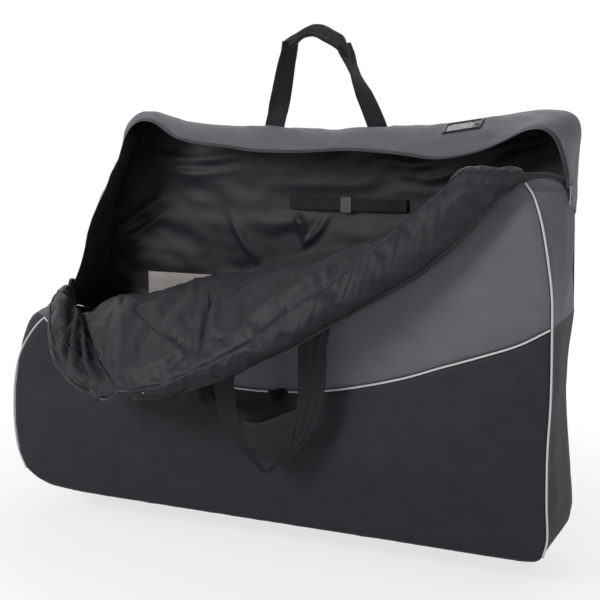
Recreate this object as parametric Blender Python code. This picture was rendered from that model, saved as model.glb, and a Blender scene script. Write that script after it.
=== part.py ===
"""Soft bike travel bag in metres, +Z up, standing on its base.

The bag is a tall flat case of padded fabric. A gusset runs round its edge, and a zip splits
the gusset over the top. The upper front is a flap, shown unzipped and folded out and down.
Each piece of the flap is drawn as it lies when closed, and its empties fold it open.
"""

import math

import bmesh
import bpy
from mathutils import Matrix, Quaternion, Vector

# Clearance between neighbours, and the overrun of cutters
GAP = 0.0003
SEAM_GAP = 0.001
OVERRUN = 0.01

# Outline of the front and back panels, seen from the front
DEPTH = 0.25
BASE_LEFT_X = -0.636
BASE_RIGHT_X = 0.630
SHOULDER_X = -0.633
SHOULDER_Z = 0.305
WAIST_X = 0.606
WAIST_Z = 0.70
TOP_RIGHT_X = 0.614
TOP_RIGHT_Z = 0.882
TOP_RISE_X = 0.32
TOP_RISE_Z = 0.838
TOP_DIP_X = 0.09
TOP_DIP_Z = 0.8275
TOP_FALL_X = -0.24
TOP_FALL_Z = 0.838
TOP_LEFT_X = -0.452
TOP_LEFT_Z = 0.872
BASE_LEFT_RADIUS = 0.15
BASE_RIGHT_RADIUS = 0.035
SIDE_RADIUS = 0.30
TOP_RIGHT_RADIUS = 0.060
TOP_LEFT_RADIUS = 0.050
TOP_SAG_RADIUS = 1.0
ARC_STEP = math.radians(9)
FEWEST_ARC_STEPS = 3

# Padded panels and gusset
PANEL = 0.006
GUSSET = 0.004
FRONT_Y = -DEPTH / 2
BACK_Y = DEPTH / 2
GUSSET_FRONT_Y = FRONT_Y + PANEL + GAP
GUSSET_BACK_Y = BACK_Y - PANEL - GAP

# Seam between black and grey, a curve through three heights
SEAM_LEFT_Z = 0.385
SEAM_MIDDLE_Z = 0.289
SEAM_RIGHT_Z = 0.467
SEAM_STEPS = 24
PIPING_RADIUS = 0.002
PIPING_SIDES = 8

# Zip, split along its middle
ZIP_Y = -0.035
ZIP_LEFT_Z = 0.471
ZIP_RIGHT_Z = 0.733
TAPE_WIDTH = 0.012
TAPE = 0.002
TAPE_INSET = 0.001
REAR_ZIP_REACH = 0.0005
FLAP_ZIP_REACH = 0.0085

# Droop of the rear top gusset at its zip edge, as shares of its greatest depth
DROOP = 0.062
DROOP_FLAT_SHARE = 0.04
DROOP_SHARES = (
    (0.0, 0.0),
    (0.10, 0.10),
    (0.24, 0.52),
    (0.42, 0.60),
    (0.60, 0.66),
    (0.75, 1.0),
    (0.875, 1.0),
    (0.96, 0.35),
    (1.0, 0.0),
)

# Crown of the rear top gusset: its height at shares of the way from the back seam to the zip edge
TOP_CROWN = 0.018
TOP_CROWN_RUN = 0.12
TOP_CROWN_SHARES = (
    (0.0, 0.0),
    (DROOP_FLAT_SHARE, 0.3),
    (0.28, 0.9),
    (0.64, 1.0),
    (0.86, 0.6),
    (1.0, 0.0),
)

# Flap: the upper front beyond a straight fold
FOLD_LEFT_Z = 0.40
FOLD_RIGHT_Z = 0.820
FLAP_TOP_Z = 0.842
FLAP_OPEN = math.radians(135)
BAND_FLIP = math.radians(140)
BAND_TAPER = 0.075
BAND_START = 0.006
FLAP_CORNER_RADIUS = 0.012
CORNER_CLEARANCE = 0.004

# Floor stiffener and divider
BOARD = 0.004
BOARD_LEFT_X = -0.47
BOARD_RIGHT_X = 0.585
BOARD_SIDE_GAP = 0.008
BOARD_CORNER_RADIUS = 0.02
DIVIDER = 0.008
DIVIDER_LEFT_X = -0.338
DIVIDER_RIGHT_X = 0.43
DIVIDER_TOP_Z = 0.512
DIVIDER_Y = 0.004
DIVIDER_CORNER_RADIUS = 0.012
DIVIDER_DROP = 0.09
DIVIDER_DROP_START_X = 0.05

# Webbing of the two carrying handles
WEBBING_WIDTH = 0.046
WEBBING = 0.0024
HANDLE_LEFT_X = -0.069
HANDLE_RIGHT_X = 0.180
HANDLE_PIVOT_Z = 0.742
BACK_ANCHOR_LENGTH = 0.11
FRONT_ANCHOR_LENGTH = 0.06
BACK_HANDLE_PATH_SHARES = (
    (0.0, 0.0, 1.0),
    (0.0, 0.10, 1.0),
    (0.01, 0.34, 1.0),
    (0.04, 0.49, 0.9),
    (0.08, 0.63, 0.75),
    (0.115, 0.76, 0.6),
    (0.15, 0.91, 0.5),
    (0.29, 0.985, 0.45),
    (0.405, 1.0, 0.45),
    (0.53, 0.97, 0.45),
    (0.64, 0.91, 0.45),
    (0.69, 0.85, 0.42),
    (0.74, 0.76, 0.35),
    (0.85, 0.56, 0.5),
    (0.97, 0.33, 0.85),
    (1.0, 0.10, 1.0),
    (1.0, 0.0, 1.0),
)
BACK_HANDLE_HEIGHT = 0.303
GRIP_FIRST = 6
GRIP_LAST = 11
GRIP_HALF_WIDTH = 0.0150
GRIP = 0.011
GRIP_ROUND = 0.0035

# Front handle: a V that hangs plumb from the flap, and its open wrap
FRONT_HANDLE_DROP = 0.334
FRONT_HANDLE_POINT = 0.072
FRONT_HANDLE_LEFT_SHARES = (
    (0.0, 0.0, 1.0),
    (-0.22, 0.25, 1.0),
    (-0.33, 0.50, 1.0),
    (-0.26, 0.66, 0.95),
    (-0.08, 0.79, 0.85),
    (0.22, 0.89, 0.7),
    (0.60, 0.97, 0.55),
)
FRONT_HANDLE_RIGHT_SHARES = (
    (1.0, 1.0, 0.5),
    (0.62, 0.955, 0.55),
    (0.38, 0.80, 0.85),
    (0.34, 0.66, 1.0),
    (0.32, 0.50, 1.0),
    (0.18, 0.25, 1.0),
    (0.0, 0.0, 1.0),
)
WRAP = 0.003
WRAP_STATION = 8
WRAP_LOW_SHARE = 0.05
WRAP_HIGH_SHARE = 0.95
WRAP_LOW_WIDTH = 0.052
WRAP_HIGH_WIDTH = 0.108
WRAP_CORNER_RADIUS = 0.01

# Small loop sewn into the front seam
LOOP_WIDTH = 0.030
LOOP_LEFT_X = -0.115
LOOP_RIGHT_X = 0.064
LOOP_DROP = 0.046
LOOP_CLEARANCE = 0.0045
LOOP_PATH_SHARES = (
    (0.0, 0.0),
    (0.0, 0.16),
    (0.05, 0.52),
    (0.19, 0.86),
    (0.5, 1.0),
    (0.81, 0.86),
    (0.95, 0.52),
    (1.0, 0.16),
    (1.0, 0.0),
)

# Wheel strap on the back lining
STRAP_WIDTH = 0.030
STRAP = 0.002
STRAP_LEFT_X = -0.03
STRAP_RIGHT_X = 0.25
STRAP_Z = 0.668
STRAP_STAND_OFF = 0.0035
STRAP_RAMP = 0.02
BUCKLE_LENGTH = 0.026
BUCKLE_WALL = 0.0022
BUCKLE_X = 0.11
BUCKLE_ROUND = 0.0008

# Address holder on the rear top
HOLDER_LEFT_X = 0.351
HOLDER_LENGTH = 0.080
HOLDER_WIDTH = 0.048
HOLDER_Y = 0.052
HOLDER = 0.0024
HOLDER_RIM = 0.006
HOLDER_END_RIM = 0.018
CARD = 0.0005
CARD_LIFT = 0.0003
WINDOW = 0.0008
STUD_RADIUS = 0.0055
STUD_HEIGHT = 0.0016
STUD_ROUND = 0.0007

# Zip slider and its pull
SLIDER_LENGTH = 0.022
SLIDER_REACH = 0.007
SLIDER_PLATE = 0.0018
BRIDGE_LENGTH = 0.013
BRIDGE_POST = 0.0015
BRIDGE_WIDTH = 0.003
BRIDGE_BAR = 0.0014
PIVOT_HEIGHT = 0.0015
EYE_HALF_HEIGHT = 0.0013
PULL = 0.0015
PULL_HALF_WIDTH = 0.004
PULL_ARM = 0.002
PULL_BAR = 0.0008
PULL_EYE_END = 0.0085
PULL_LENGTH = 0.042
PULL_TIP_RADIUS = 0.0045
PULL_HOLE_RADIUS = 0.0022
PULL_STEPS = 12
LEFT_SLIDER_Z = 0.492
RIGHT_SLIDER_Z = 0.752

# Colours as the photo shows them, in linear values
FINISHES = {
    "black_fabric": ((0.026, 0.027, 0.031), 0.78, 0.0),
    "grey_fabric": ((0.114, 0.107, 0.124), 0.72, 0.0),
    "grey_piping": ((0.50, 0.48, 0.48), 0.55, 0.0),
    "webbing": ((0.015, 0.017, 0.021), 0.70, 0.0),
    "zip_tape": ((0.010, 0.010, 0.012), 0.75, 0.0),
    "divider_fabric": ((0.26, 0.235, 0.235), 0.85, 0.0),
    "stiffener": ((0.03, 0.03, 0.03), 0.60, 0.0),
    "dark_metal": ((0.09, 0.09, 0.095), 0.35, 1.0),
    "black_plastic": ((0.012, 0.012, 0.014), 0.45, 0.0),
    "clear_window": ((0.30, 0.30, 0.29), 0.20, 0.0),
    "card": ((0.70, 0.69, 0.66), 0.80, 0.0),
}


def clear_scene():
    for item in list(bpy.data.objects):
        bpy.data.objects.remove(item, do_unlink=True)


def finish(slot):
    """The material of one slot, made once."""
    found = bpy.data.materials.get(slot)
    if found:
        return found
    colour, roughness, metallic = FINISHES[slot]
    made = bpy.data.materials.new(slot)
    made.use_nodes = True
    shader = made.node_tree.nodes["Principled BSDF"]
    shader.inputs["Base Color"].default_value = (*colour, 1.0)
    shader.inputs["Roughness"].default_value = roughness
    shader.inputs["Metallic"].default_value = metallic
    return made


def empty(name, place, turn, parent=None):
    """A hinge: an empty on the joint's axis, turned as far as the joint is at rest."""
    holder = bpy.data.objects.new(name, None)
    bpy.context.collection.objects.link(holder)
    holder.parent = parent
    holder.location = place
    holder.rotation_mode = "QUATERNION"
    holder.rotation_quaternion = turn
    return holder


def add_mesh(name, points, faces, slot, origin=Vector((0, 0, 0)), parent=None):
    """An object from points in the bag's frame, with its own origin at a joint or at zero."""
    mesh = bpy.data.meshes.new(name)
    mesh.from_pydata([Vector(point) - origin for point in points], [], faces)
    mesh.update()
    made = bpy.data.objects.new(name, mesh)
    made.data.materials.append(finish(slot))
    bpy.context.collection.objects.link(made)
    if parent:
        made.parent = parent
    else:
        made.location = origin
    return made


def flat(x, z):
    return Vector((x, z))


def fillet(before, corner, after, radius):
    """The points of a rounded corner, from the side before it to the side after it."""
    into = (corner - before).normalized()
    out = (after - corner).normalized()
    turn = math.atan2(into.x * out.y - into.y * out.x, into.dot(out))
    start = corner - into * radius * math.tan(abs(turn) / 2)
    centre = start + Vector((-into.y, into.x)) * math.copysign(radius, turn)
    spoke = start - centre
    steps = max(FEWEST_ARC_STEPS, math.ceil(abs(turn) / ARC_STEP))
    points = []
    for step in range(steps + 1):
        angle = turn * step / steps
        points.append(centre + Matrix.Rotation(angle, 2) @ spoke)
    return points


def rounded(corners, radii):
    """A closed outline with each corner rounded: one list of points for each corner."""
    count = len(corners)
    arcs = []
    for index, corner in enumerate(corners):
        if radii[index]:
            arcs.append(fillet(corners[index - 1], corner, corners[(index + 1) % count], radii[index]))
        else:
            arcs.append([corner])
    return arcs


def offset(path, distance):
    """A path moved to its right by a distance, which is outwards on the bag's outline."""
    moved = []
    for index, point in enumerate(path):
        normals = []
        if index > 0:
            step = (point - path[index - 1]).normalized()
            normals.append(Vector((step.y, -step.x)))
        if index < len(path) - 1:
            step = (path[index + 1] - point).normalized()
            normals.append(Vector((step.y, -step.x)))
        middle = (normals[0] + normals[-1]).normalized()
        moved.append(point + middle * distance / middle.dot(normals[0]))
    return moved


def between(path, low, high):
    """The stretch of a rising path between two heights."""
    points = [at_height(path, low)]
    points += [point for point in path if low + GAP < point.y < high - GAP]
    points.append(at_height(path, high))
    return points


def at_height(path, height):
    for first, second in zip(path, path[1:]):
        if second.y > first.y and height <= second.y:
            share = max(0.0, (height - first.y) / (second.y - first.y))
            return first.lerp(second, share)
    return path[-1].copy()


def at_x(path, x):
    """The point of a path that runs across the bag, at one x."""
    for first, second in zip(path, path[1:]):
        if min(first.x, second.x) <= x <= max(first.x, second.x):
            return first.lerp(second, (x - first.x) / (second.x - first.x))
    return path[-1].copy()


def slab(name, outline, near, far, slot, origin=Vector((0, 0, 0)), parent=None):
    """A plate: an outline seen from the front, between two depths."""
    count = len(outline)
    points = [(point.x, near, point.y) for point in outline]
    points += [(point.x, far, point.y) for point in outline]
    faces = [tuple(range(count)), tuple(range(2 * count - 1, count - 1, -1))]
    for index in range(count):
        after = (index + 1) % count
        faces.append((after, index, index + count, after + count))
    return add_mesh(name, points, faces, slot, origin, parent)


def strip(name, path, near, far, outer, inner, slot, origin=Vector((0, 0, 0)), parent=None):
    """A wall that follows a path, between two depths and two offsets."""
    outline = offset(path, outer) + offset(path, inner)[::-1]
    return slab(name, outline, near, far, slot, origin, parent)


def tube(name, route, radius, slot, parent=None, origin=Vector((0, 0, 0))):
    """A round cord of piping with flat ends."""
    points = []
    faces = []
    across = Vector((0, 1, 0))
    for index, point in enumerate(route):
        ahead = route[min(index + 1, len(route) - 1)]
        behind = route[max(index - 1, 0)]
        along = (ahead - behind).normalized()
        side = along.cross(across).normalized()
        over = side.cross(along)
        for corner in range(PIPING_SIDES):
            angle = 2 * math.pi * corner / PIPING_SIDES
            points.append(point + (side * math.cos(angle) + over * math.sin(angle)) * radius)
    for ring in range(len(route) - 1):
        for corner in range(PIPING_SIDES):
            after = (corner + 1) % PIPING_SIDES
            low = ring * PIPING_SIDES
            high = low + PIPING_SIDES
            faces.append((low + corner, low + after, high + after, high + corner))
    last = (len(route) - 1) * PIPING_SIDES
    faces.append(tuple(range(PIPING_SIDES - 1, -1, -1)))
    faces.append(tuple(range(last, last + PIPING_SIDES)))
    made = add_mesh(name, points, faces, slot, origin, parent)
    face_outwards(made)
    return made


def face_outwards(made):
    shape = bmesh.new()
    shape.from_mesh(made.data)
    bmesh.ops.recalc_face_normals(shape, faces=shape.faces)
    shape.to_mesh(made.data)
    shape.free()


def cloth(name, rows, thickness, slot, side=-1.0, origin=Vector((0, 0, 0)), parent=None):
    """A sheet through rows of points, thickened to one side."""
    across = len(rows[0])
    points = [point for row in rows for point in row]
    faces = []
    for row in range(len(rows) - 1):
        for column in range(across - 1):
            first = row * across + column
            faces.append((first, first + 1, first + across + 1, first + across))
    made = add_mesh(name, points, faces, slot, origin, parent)
    thicken = made.modifiers.new("thickness", "SOLIDIFY")
    thicken.thickness = thickness
    thicken.offset = side
    thicken.use_even_offset = True
    return made


def bevel(made, width, segments=2):
    rounding = made.modifiers.new("rounding", "BEVEL")
    rounding.width = width
    rounding.segments = segments
    rounding.limit_method = "ANGLE"
    return rounding


def cut(made, cutter):
    """Take a cutter's shape out of a piece, and leave the cutter out of the build."""
    cutter.hide_render = True
    cutter.display_type = "WIRE"
    hole = made.modifiers.new("cut", "BOOLEAN")
    hole.operation = "DIFFERENCE"
    hole.solver = "EXACT"
    hole.object = cutter


def join(made, other):
    """Make another shape part of a piece's one body."""
    other.hide_render = True
    other.display_type = "WIRE"
    union = made.modifiers.new("join", "BOOLEAN")
    union.operation = "UNION"
    union.solver = "EXACT"
    union.object = other


def block(name, low, high, slot, place=Matrix.Identity(4), parent=None):
    """A box between two corners, in a local frame that a matrix places."""
    points = []
    for z in (low[2], high[2]):
        for x, y in ((low[0], low[1]), (high[0], low[1]), (high[0], high[1]), (low[0], high[1])):
            points.append(place @ Vector((x, y, z)))
    faces = [(3, 2, 1, 0), (4, 5, 6, 7), (0, 1, 5, 4), (1, 2, 6, 5), (2, 3, 7, 6), (3, 0, 4, 7)]
    return add_mesh(name, points, faces, slot, parent=parent)


def prism(name, outline, low, high, slot, place):
    """An outline in a local X and Y, between two local heights."""
    count = len(outline)
    points = [place @ Vector((point.x, point.y, low)) for point in outline]
    points += [place @ Vector((point.x, point.y, high)) for point in outline]
    faces = [tuple(range(count - 1, -1, -1)), tuple(range(count, 2 * count))]
    for index in range(count):
        after = (index + 1) % count
        faces.append((index, after, after + count, index + count))
    made = add_mesh(name, points, faces, slot)
    face_outwards(made)
    return made


def ribbon(path, half_widths):
    """The flat outline of webbing along a path, with its own half width at each point."""
    left = []
    right = []
    for index, point in enumerate(path):
        ahead = path[min(index + 1, len(path) - 1)]
        behind = path[max(index - 1, 0)]
        along = (ahead - behind).normalized()
        side = Vector((along.y, -along.x)) * half_widths[index]
        right.append(point + side)
        left.append(point - side)
    return right + left[::-1]


def level_ends(outline, start, end):
    """Cut a ribbon's two ends along the line through its first and last path points."""
    slope = (end.y - start.y) / (end.x - start.x)
    middle = len(outline) // 2
    for index in (0, middle - 1, middle, len(outline) - 1):
        outline[index].y = start.y + (outline[index].x - start.x) * slope
    return outline


def local_frame(place, first, second, third):
    """The matrix of a local frame from its origin and its three unit directions."""
    turned = Matrix((first, second, third)).transposed().to_4x4()
    return Matrix.Translation(place) @ turned


# The outline, anticlockwise from the front, as one list of points for each corner
OUTLINE_CORNERS = [
    flat(BASE_LEFT_X, 0),
    flat(BASE_RIGHT_X, 0),
    flat(WAIST_X, WAIST_Z),
    flat(TOP_RIGHT_X, TOP_RIGHT_Z),
    flat(TOP_RISE_X, TOP_RISE_Z),
    flat(TOP_DIP_X, TOP_DIP_Z),
    flat(TOP_FALL_X, TOP_FALL_Z),
    flat(TOP_LEFT_X, TOP_LEFT_Z),
    flat(SHOULDER_X, SHOULDER_Z),
]
OUTLINE_RADII = [
    BASE_LEFT_RADIUS,
    BASE_RIGHT_RADIUS,
    SIDE_RADIUS,
    TOP_RIGHT_RADIUS,
    TOP_SAG_RADIUS,
    TOP_SAG_RADIUS,
    TOP_SAG_RADIUS,
    TOP_LEFT_RADIUS,
    SIDE_RADIUS,
]
ARCS = rounded(OUTLINE_CORNERS, OUTLINE_RADII)
BASE_LEFT, BASE_RIGHT, WAIST, TOP_RIGHT, RISE, DIP, FALL, TOP_LEFT, SHOULDER = ARCS
LEFT_SIDE = (TOP_LEFT + SHOULDER + BASE_LEFT)[::-1]
RIGHT_SIDE = BASE_RIGHT + WAIST + TOP_RIGHT
TOP = TOP_RIGHT + RISE + DIP + FALL + TOP_LEFT

FOLD_LEFT = at_height(LEFT_SIDE, FOLD_LEFT_Z)
FOLD_RIGHT = at_height(RIGHT_SIDE, FOLD_RIGHT_Z)
FOLD_LINE = (FOLD_RIGHT - FOLD_LEFT).normalized()
FOLD_UP = Vector((-FOLD_LINE.y, FOLD_LINE.x))
LEFT_UP = (TOP_LEFT[-1] - SHOULDER[0]).normalized()
RIGHT_UP = (TOP_RIGHT[0] - WAIST[-1]).normalized()
FLAP_TOP_LEFT = FOLD_LEFT + LEFT_UP * (FLAP_TOP_Z - FOLD_LEFT_Z) / LEFT_UP.y
FLAP_TOP_RIGHT = flat(FOLD_RIGHT.x, FLAP_TOP_Z)
SEAM_AXIS_Y = FRONT_Y + PANEL / 2
REAR_EDGE_Y = ZIP_Y + TAPE_WIDTH
FLAP_EDGE_Y = ZIP_Y - FLAP_ZIP_REACH - TAPE_WIDTH


def seam_points(steps=SEAM_STEPS):
    """The curved seam, a parabola through its two ends and its middle height."""
    left = at_height(LEFT_SIDE, SEAM_LEFT_Z)
    right = at_height(RIGHT_SIDE, SEAM_RIGHT_Z)
    points = []
    for step in range(steps + 1):
        x = left.x + (right.x - left.x) * step / steps
        from_left = SEAM_LEFT_Z * (x * (x - right.x)) / (left.x * (left.x - right.x))
        from_right = SEAM_RIGHT_Z * (x * (x - left.x)) / (right.x * (right.x - left.x))
        from_middle = SEAM_MIDDLE_Z * (x - left.x) * (x - right.x) / (left.x * right.x)
        points.append(flat(x, from_left + from_right + from_middle))
    return points


def raised(path, height):
    return [point + flat(0, height) for point in path]


def lower_outline():
    left = between(LEFT_SIDE, 0, SEAM_LEFT_Z - GAP)[::-1]
    right = between(RIGHT_SIDE, 0, SEAM_RIGHT_Z - GAP)
    return left + right + raised(seam_points(), -GAP)[::-1][1:-1]


def upper_right_side(top):
    return between(RIGHT_SIDE, SEAM_RIGHT_Z + GAP, top)


def make_panels():
    """Front and back: padded plates, black below the seam and grey above it."""
    slab("front_panel_lower", lower_outline(), FRONT_Y, FRONT_Y + PANEL, "black_fabric")
    slab("back_panel_lower", lower_outline(), BACK_Y - PANEL, BACK_Y, "black_fabric")
    seam = raised(seam_points(), GAP)
    fold = [FOLD_RIGHT - FOLD_UP * GAP, FOLD_LEFT - FOLD_UP * GAP]
    front = seam + upper_right_side(FOLD_RIGHT_Z - 2 * GAP)[1:] + fold[1:]
    slab("front_panel_upper", front, FRONT_Y, FRONT_Y + PANEL, "grey_fabric")
    left = between(LEFT_SIDE, SEAM_LEFT_Z + GAP, TOP_LEFT[-1].y)[::-1][1:-1]
    back = seam + upper_right_side(TOP_RIGHT[0].y)[1:] + TOP[1:] + left
    slab("back_panel_upper", back, BACK_Y - PANEL, BACK_Y, "grey_fabric")


def make_piping():
    """Light cord sewn into the seam across each panel and the front side edges."""
    reach = PIPING_RADIUS + GAP
    for name, y in (("front_seam_piping", FRONT_Y - reach), ("back_seam_piping", BACK_Y + reach)):
        route = [Vector((point.x, y, point.y)) for point in seam_points()]
        tube(name, route, PIPING_RADIUS, "grey_piping")
    left = between(LEFT_SIDE, BASE_LEFT_RADIUS / 2, FOLD_LEFT_Z - reach)[::-1]
    right = between(RIGHT_SIDE, BASE_RIGHT_RADIUS, FOLD_RIGHT_Z - reach)
    for name, path in (("front_left_piping", left), ("front_right_piping", right)):
        route = [Vector((point.x, SEAM_AXIS_Y, point.y)) for point in offset(path, reach)]
        tube(name, route, PIPING_RADIUS, "grey_piping")


def make_base():
    """The bottom gusset, which the bag stands on, and its loose stiffener."""
    path = [BASE_LEFT[-1] + flat(SEAM_GAP, 0), BASE_RIGHT[0] - flat(SEAM_GAP, 0)]
    strip("base_panel", path, GUSSET_FRONT_Y, GUSSET_BACK_Y, 0, -GUSSET, "black_fabric")
    low = GUSSET + GAP
    half = DEPTH / 2 - PANEL - BOARD_SIDE_GAP
    corners = [
        flat(BOARD_LEFT_X, -half),
        flat(BOARD_RIGHT_X, -half),
        flat(BOARD_RIGHT_X, half),
        flat(BOARD_LEFT_X, half),
    ]
    arcs = rounded(corners, [BOARD_CORNER_RADIUS] * len(corners))
    outline = [point for arc in arcs for point in arc]
    prism("base_board", outline, low, low + BOARD, "stiffener", Matrix.Identity(4))


def make_ends():
    """The two ends of the gusset: black below, grey above, split beside the zip."""
    left = between(LEFT_SIDE, 0, SEAM_LEFT_Z - GAP)[::-1]
    right = between(RIGHT_SIDE, 0, SEAM_RIGHT_Z - GAP)
    strip("left_end_lower", left, GUSSET_FRONT_Y, GUSSET_BACK_Y, 0, -GUSSET, "black_fabric")
    strip("right_end_lower", right, GUSSET_FRONT_Y, GUSSET_BACK_Y, 0, -GUSSET, "black_fabric")

    upper = between(RIGHT_SIDE, SEAM_RIGHT_Z + GAP, ZIP_RIGHT_Z)
    strip("right_end_upper", upper, GUSSET_FRONT_Y, GUSSET_BACK_Y, 0, -GUSSET, "grey_fabric")
    front = between(RIGHT_SIDE, ZIP_RIGHT_Z + 2 * GAP, FOLD_RIGHT_Z - 2 * GAP)
    strip("right_end_front", front, GUSSET_FRONT_Y, FLAP_EDGE_Y, 0, -GUSSET, "grey_fabric")
    rear = between(RIGHT_SIDE, ZIP_RIGHT_Z + 2 * GAP, TOP_RIGHT[0].y - SEAM_GAP)
    strip("right_end_rear", rear, REAR_EDGE_Y, GUSSET_BACK_Y, 0, -GUSSET, "grey_fabric")

    rear = between(LEFT_SIDE, SEAM_LEFT_Z + GAP, TOP_LEFT[-1].y - SEAM_GAP)[::-1]
    strip("left_end_rear", rear, REAR_EDGE_Y, GUSSET_BACK_Y, 0, -GUSSET, "grey_fabric")
    rows = []
    heights = (FOLD_LEFT_Z - GAP, ZIP_LEFT_Z - GAP, ZIP_LEFT_Z - GAP)
    depths = (GUSSET_FRONT_Y, FLAP_EDGE_Y, REAR_EDGE_Y - GAP)
    for y, top in zip(depths, heights):
        foot = at_height(LEFT_SIDE, SEAM_LEFT_Z + GAP)
        head = at_height(LEFT_SIDE, top)
        rows.append([Vector((foot.x, y, foot.y)), Vector((head.x, y, head.y))])
    cloth("left_end_front", rows, GUSSET, "grey_fabric")


def droop_at(x):
    """How far the rear zip edge hangs below the outline at one x, between its two corners."""
    left = TOP_LEFT[-1].x
    right = TOP_RIGHT[0].x
    share = min(1.0, max(0.0, (x - left) / (right - left)))
    for (first, low), (second, high) in zip(DROOP_SHARES, DROOP_SHARES[1:]):
        if share <= second:
            blend = (share - first) / (second - first)
            eased = blend * blend * (3 - 2 * blend)
            return DROOP * (low + (high - low) * eased)
    return 0.0


def crown_at(x, share):
    """How far the rear top swells at one x, at a share of the way to its zip edge."""
    run = min(x - TOP_LEFT[-1].x, TOP_RIGHT[0].x - x) / TOP_CROWN_RUN
    rise = min(1.0, max(0.0, run))
    for (first, low), (second, high) in zip(TOP_CROWN_SHARES, TOP_CROWN_SHARES[1:]):
        if share <= second:
            crown = low + (high - low) * (share - first) / (second - first)
            return TOP_CROWN * crown * rise * rise * (3 - 2 * rise)
    return 0.0


def hang_at(x, share):
    """How far the rear top lies below the outline, at a share of the way to its zip edge."""
    hung = max(0.0, share - DROOP_FLAT_SHARE) / (1 - DROOP_FLAT_SHARE)
    return droop_at(x) * hung - crown_at(x, share)


def top_path(share):
    """The rear top from right to left, at a share of the way from its back seam to its zip edge."""
    path = TOP_RIGHT[:]
    right = TOP_RIGHT[-1].x
    left = TOP_LEFT[0].x
    steps = SEAM_STEPS
    for step in range(1, steps):
        path.append(at_x(TOP, right + (left - right) * step / steps))
    path += TOP_LEFT
    return [point - flat(0, hang_at(point.x, share)) for point in path]


def top_surface(x, y):
    """A point of the rear top's outer face."""
    share = (GUSSET_BACK_Y - y) / (GUSSET_BACK_Y - REAR_EDGE_Y)
    return Vector((x, y, at_x(TOP, x).y - hang_at(x, share)))


def make_rear_top():
    """The rear half of the top gusset, hanging between its corners, and the zip tape on its edge."""
    rows = []
    for share, _ in TOP_CROWN_SHARES:
        y = GUSSET_BACK_Y + (REAR_EDGE_Y - GUSSET_BACK_Y) * share
        rows.append([Vector((point.x, y, point.y)) for point in top_path(share)])
    cloth("top_gusset_rear", rows, GUSSET, "grey_fabric")
    left = between(LEFT_SIDE, ZIP_LEFT_Z + GAP, TOP_LEFT[-1].y - GAP)[::-1]
    right = between(RIGHT_SIDE, ZIP_RIGHT_Z + 2 * GAP, TOP_RIGHT[0].y - GAP)
    path = right + top_path(1.0)[1:-1] + left
    near = ZIP_Y - REAR_ZIP_REACH
    far = REAR_EDGE_Y - GAP
    inner = -TAPE_INSET - TAPE
    strip("rear_zip_tape", path, near, far, -TAPE_INSET, inner, "zip_tape")


def make_divider():
    """A padded panel that stands on the floor board between wheel and frame."""
    foot = GUSSET + BOARD + 2 * GAP
    corners = [
        flat(DIVIDER_LEFT_X, foot),
        flat(DIVIDER_RIGHT_X, foot),
        flat(DIVIDER_RIGHT_X, DIVIDER_TOP_Z - DIVIDER_DROP),
        flat(DIVIDER_DROP_START_X, DIVIDER_TOP_Z),
        flat(DIVIDER_LEFT_X, DIVIDER_TOP_Z),
    ]
    arcs = rounded(corners, [DIVIDER_CORNER_RADIUS] * len(corners))
    outline = [point for arc in arcs for point in arc]
    near = DIVIDER_Y - DIVIDER / 2
    slab("divider", outline, near, near + DIVIDER, "divider_fabric")


def make_wheel_strap():
    """A webbing strap sewn to the back lining at both ends, and the buckle that slides on it."""
    wall = BACK_Y - PANEL - GAP
    out = wall - STRAP_STAND_OFF
    stations = [
        flat(STRAP_LEFT_X, wall),
        flat(STRAP_LEFT_X + STRAP_RAMP, wall),
        flat(STRAP_LEFT_X + 2 * STRAP_RAMP, out),
        flat(STRAP_RIGHT_X - 2 * STRAP_RAMP, out),
        flat(STRAP_RIGHT_X - STRAP_RAMP, wall),
        flat(STRAP_RIGHT_X, wall),
    ]
    outline = stations + offset(stations, STRAP)[::-1]
    low = STRAP_Z - STRAP_WIDTH / 2
    prism("wheel_strap", outline, low, low + STRAP_WIDTH, "webbing", Matrix.Identity(4))

    inner_low = flat(out - STRAP - GAP, low - GAP)
    inner_high = flat(out + GAP, low + STRAP_WIDTH + GAP)
    wall_size = flat(BUCKLE_WALL, BUCKLE_WALL)
    outer_low = inner_low - wall_size
    outer_high = inner_high + flat(STRAP_STAND_OFF - 2 * GAP, BUCKLE_WALL)
    start = BUCKLE_X - BUCKLE_LENGTH / 2
    end = BUCKLE_X + BUCKLE_LENGTH / 2
    buckle = block(
        "strap_buckle",
        (start, outer_low.x, outer_low.y),
        (end, outer_high.x, outer_high.y),
        "black_plastic",
    )
    bevel(buckle, BUCKLE_ROUND)
    slot = block(
        "buckle_slot",
        (start - OVERRUN, inner_low.x, inner_low.y),
        (end + OVERRUN, inner_high.x, inner_high.y),
        "black_plastic",
    )
    cut(buckle, slot)


def holder_frame():
    """The local frame of the address holder: along the top, across it, and out of its face."""
    left = top_surface(HOLDER_LEFT_X, HOLDER_Y)
    right = top_surface(HOLDER_LEFT_X + HOLDER_LENGTH, HOLDER_Y)
    back = top_surface(HOLDER_LEFT_X, HOLDER_Y + HOLDER_WIDTH / 2)
    along = (right - left).normalized()
    out = along.cross(back - left).normalized()
    across = out.cross(along)
    middle = (left + right) / 2
    return local_frame(middle + out * GAP, along, across, out)


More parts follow.
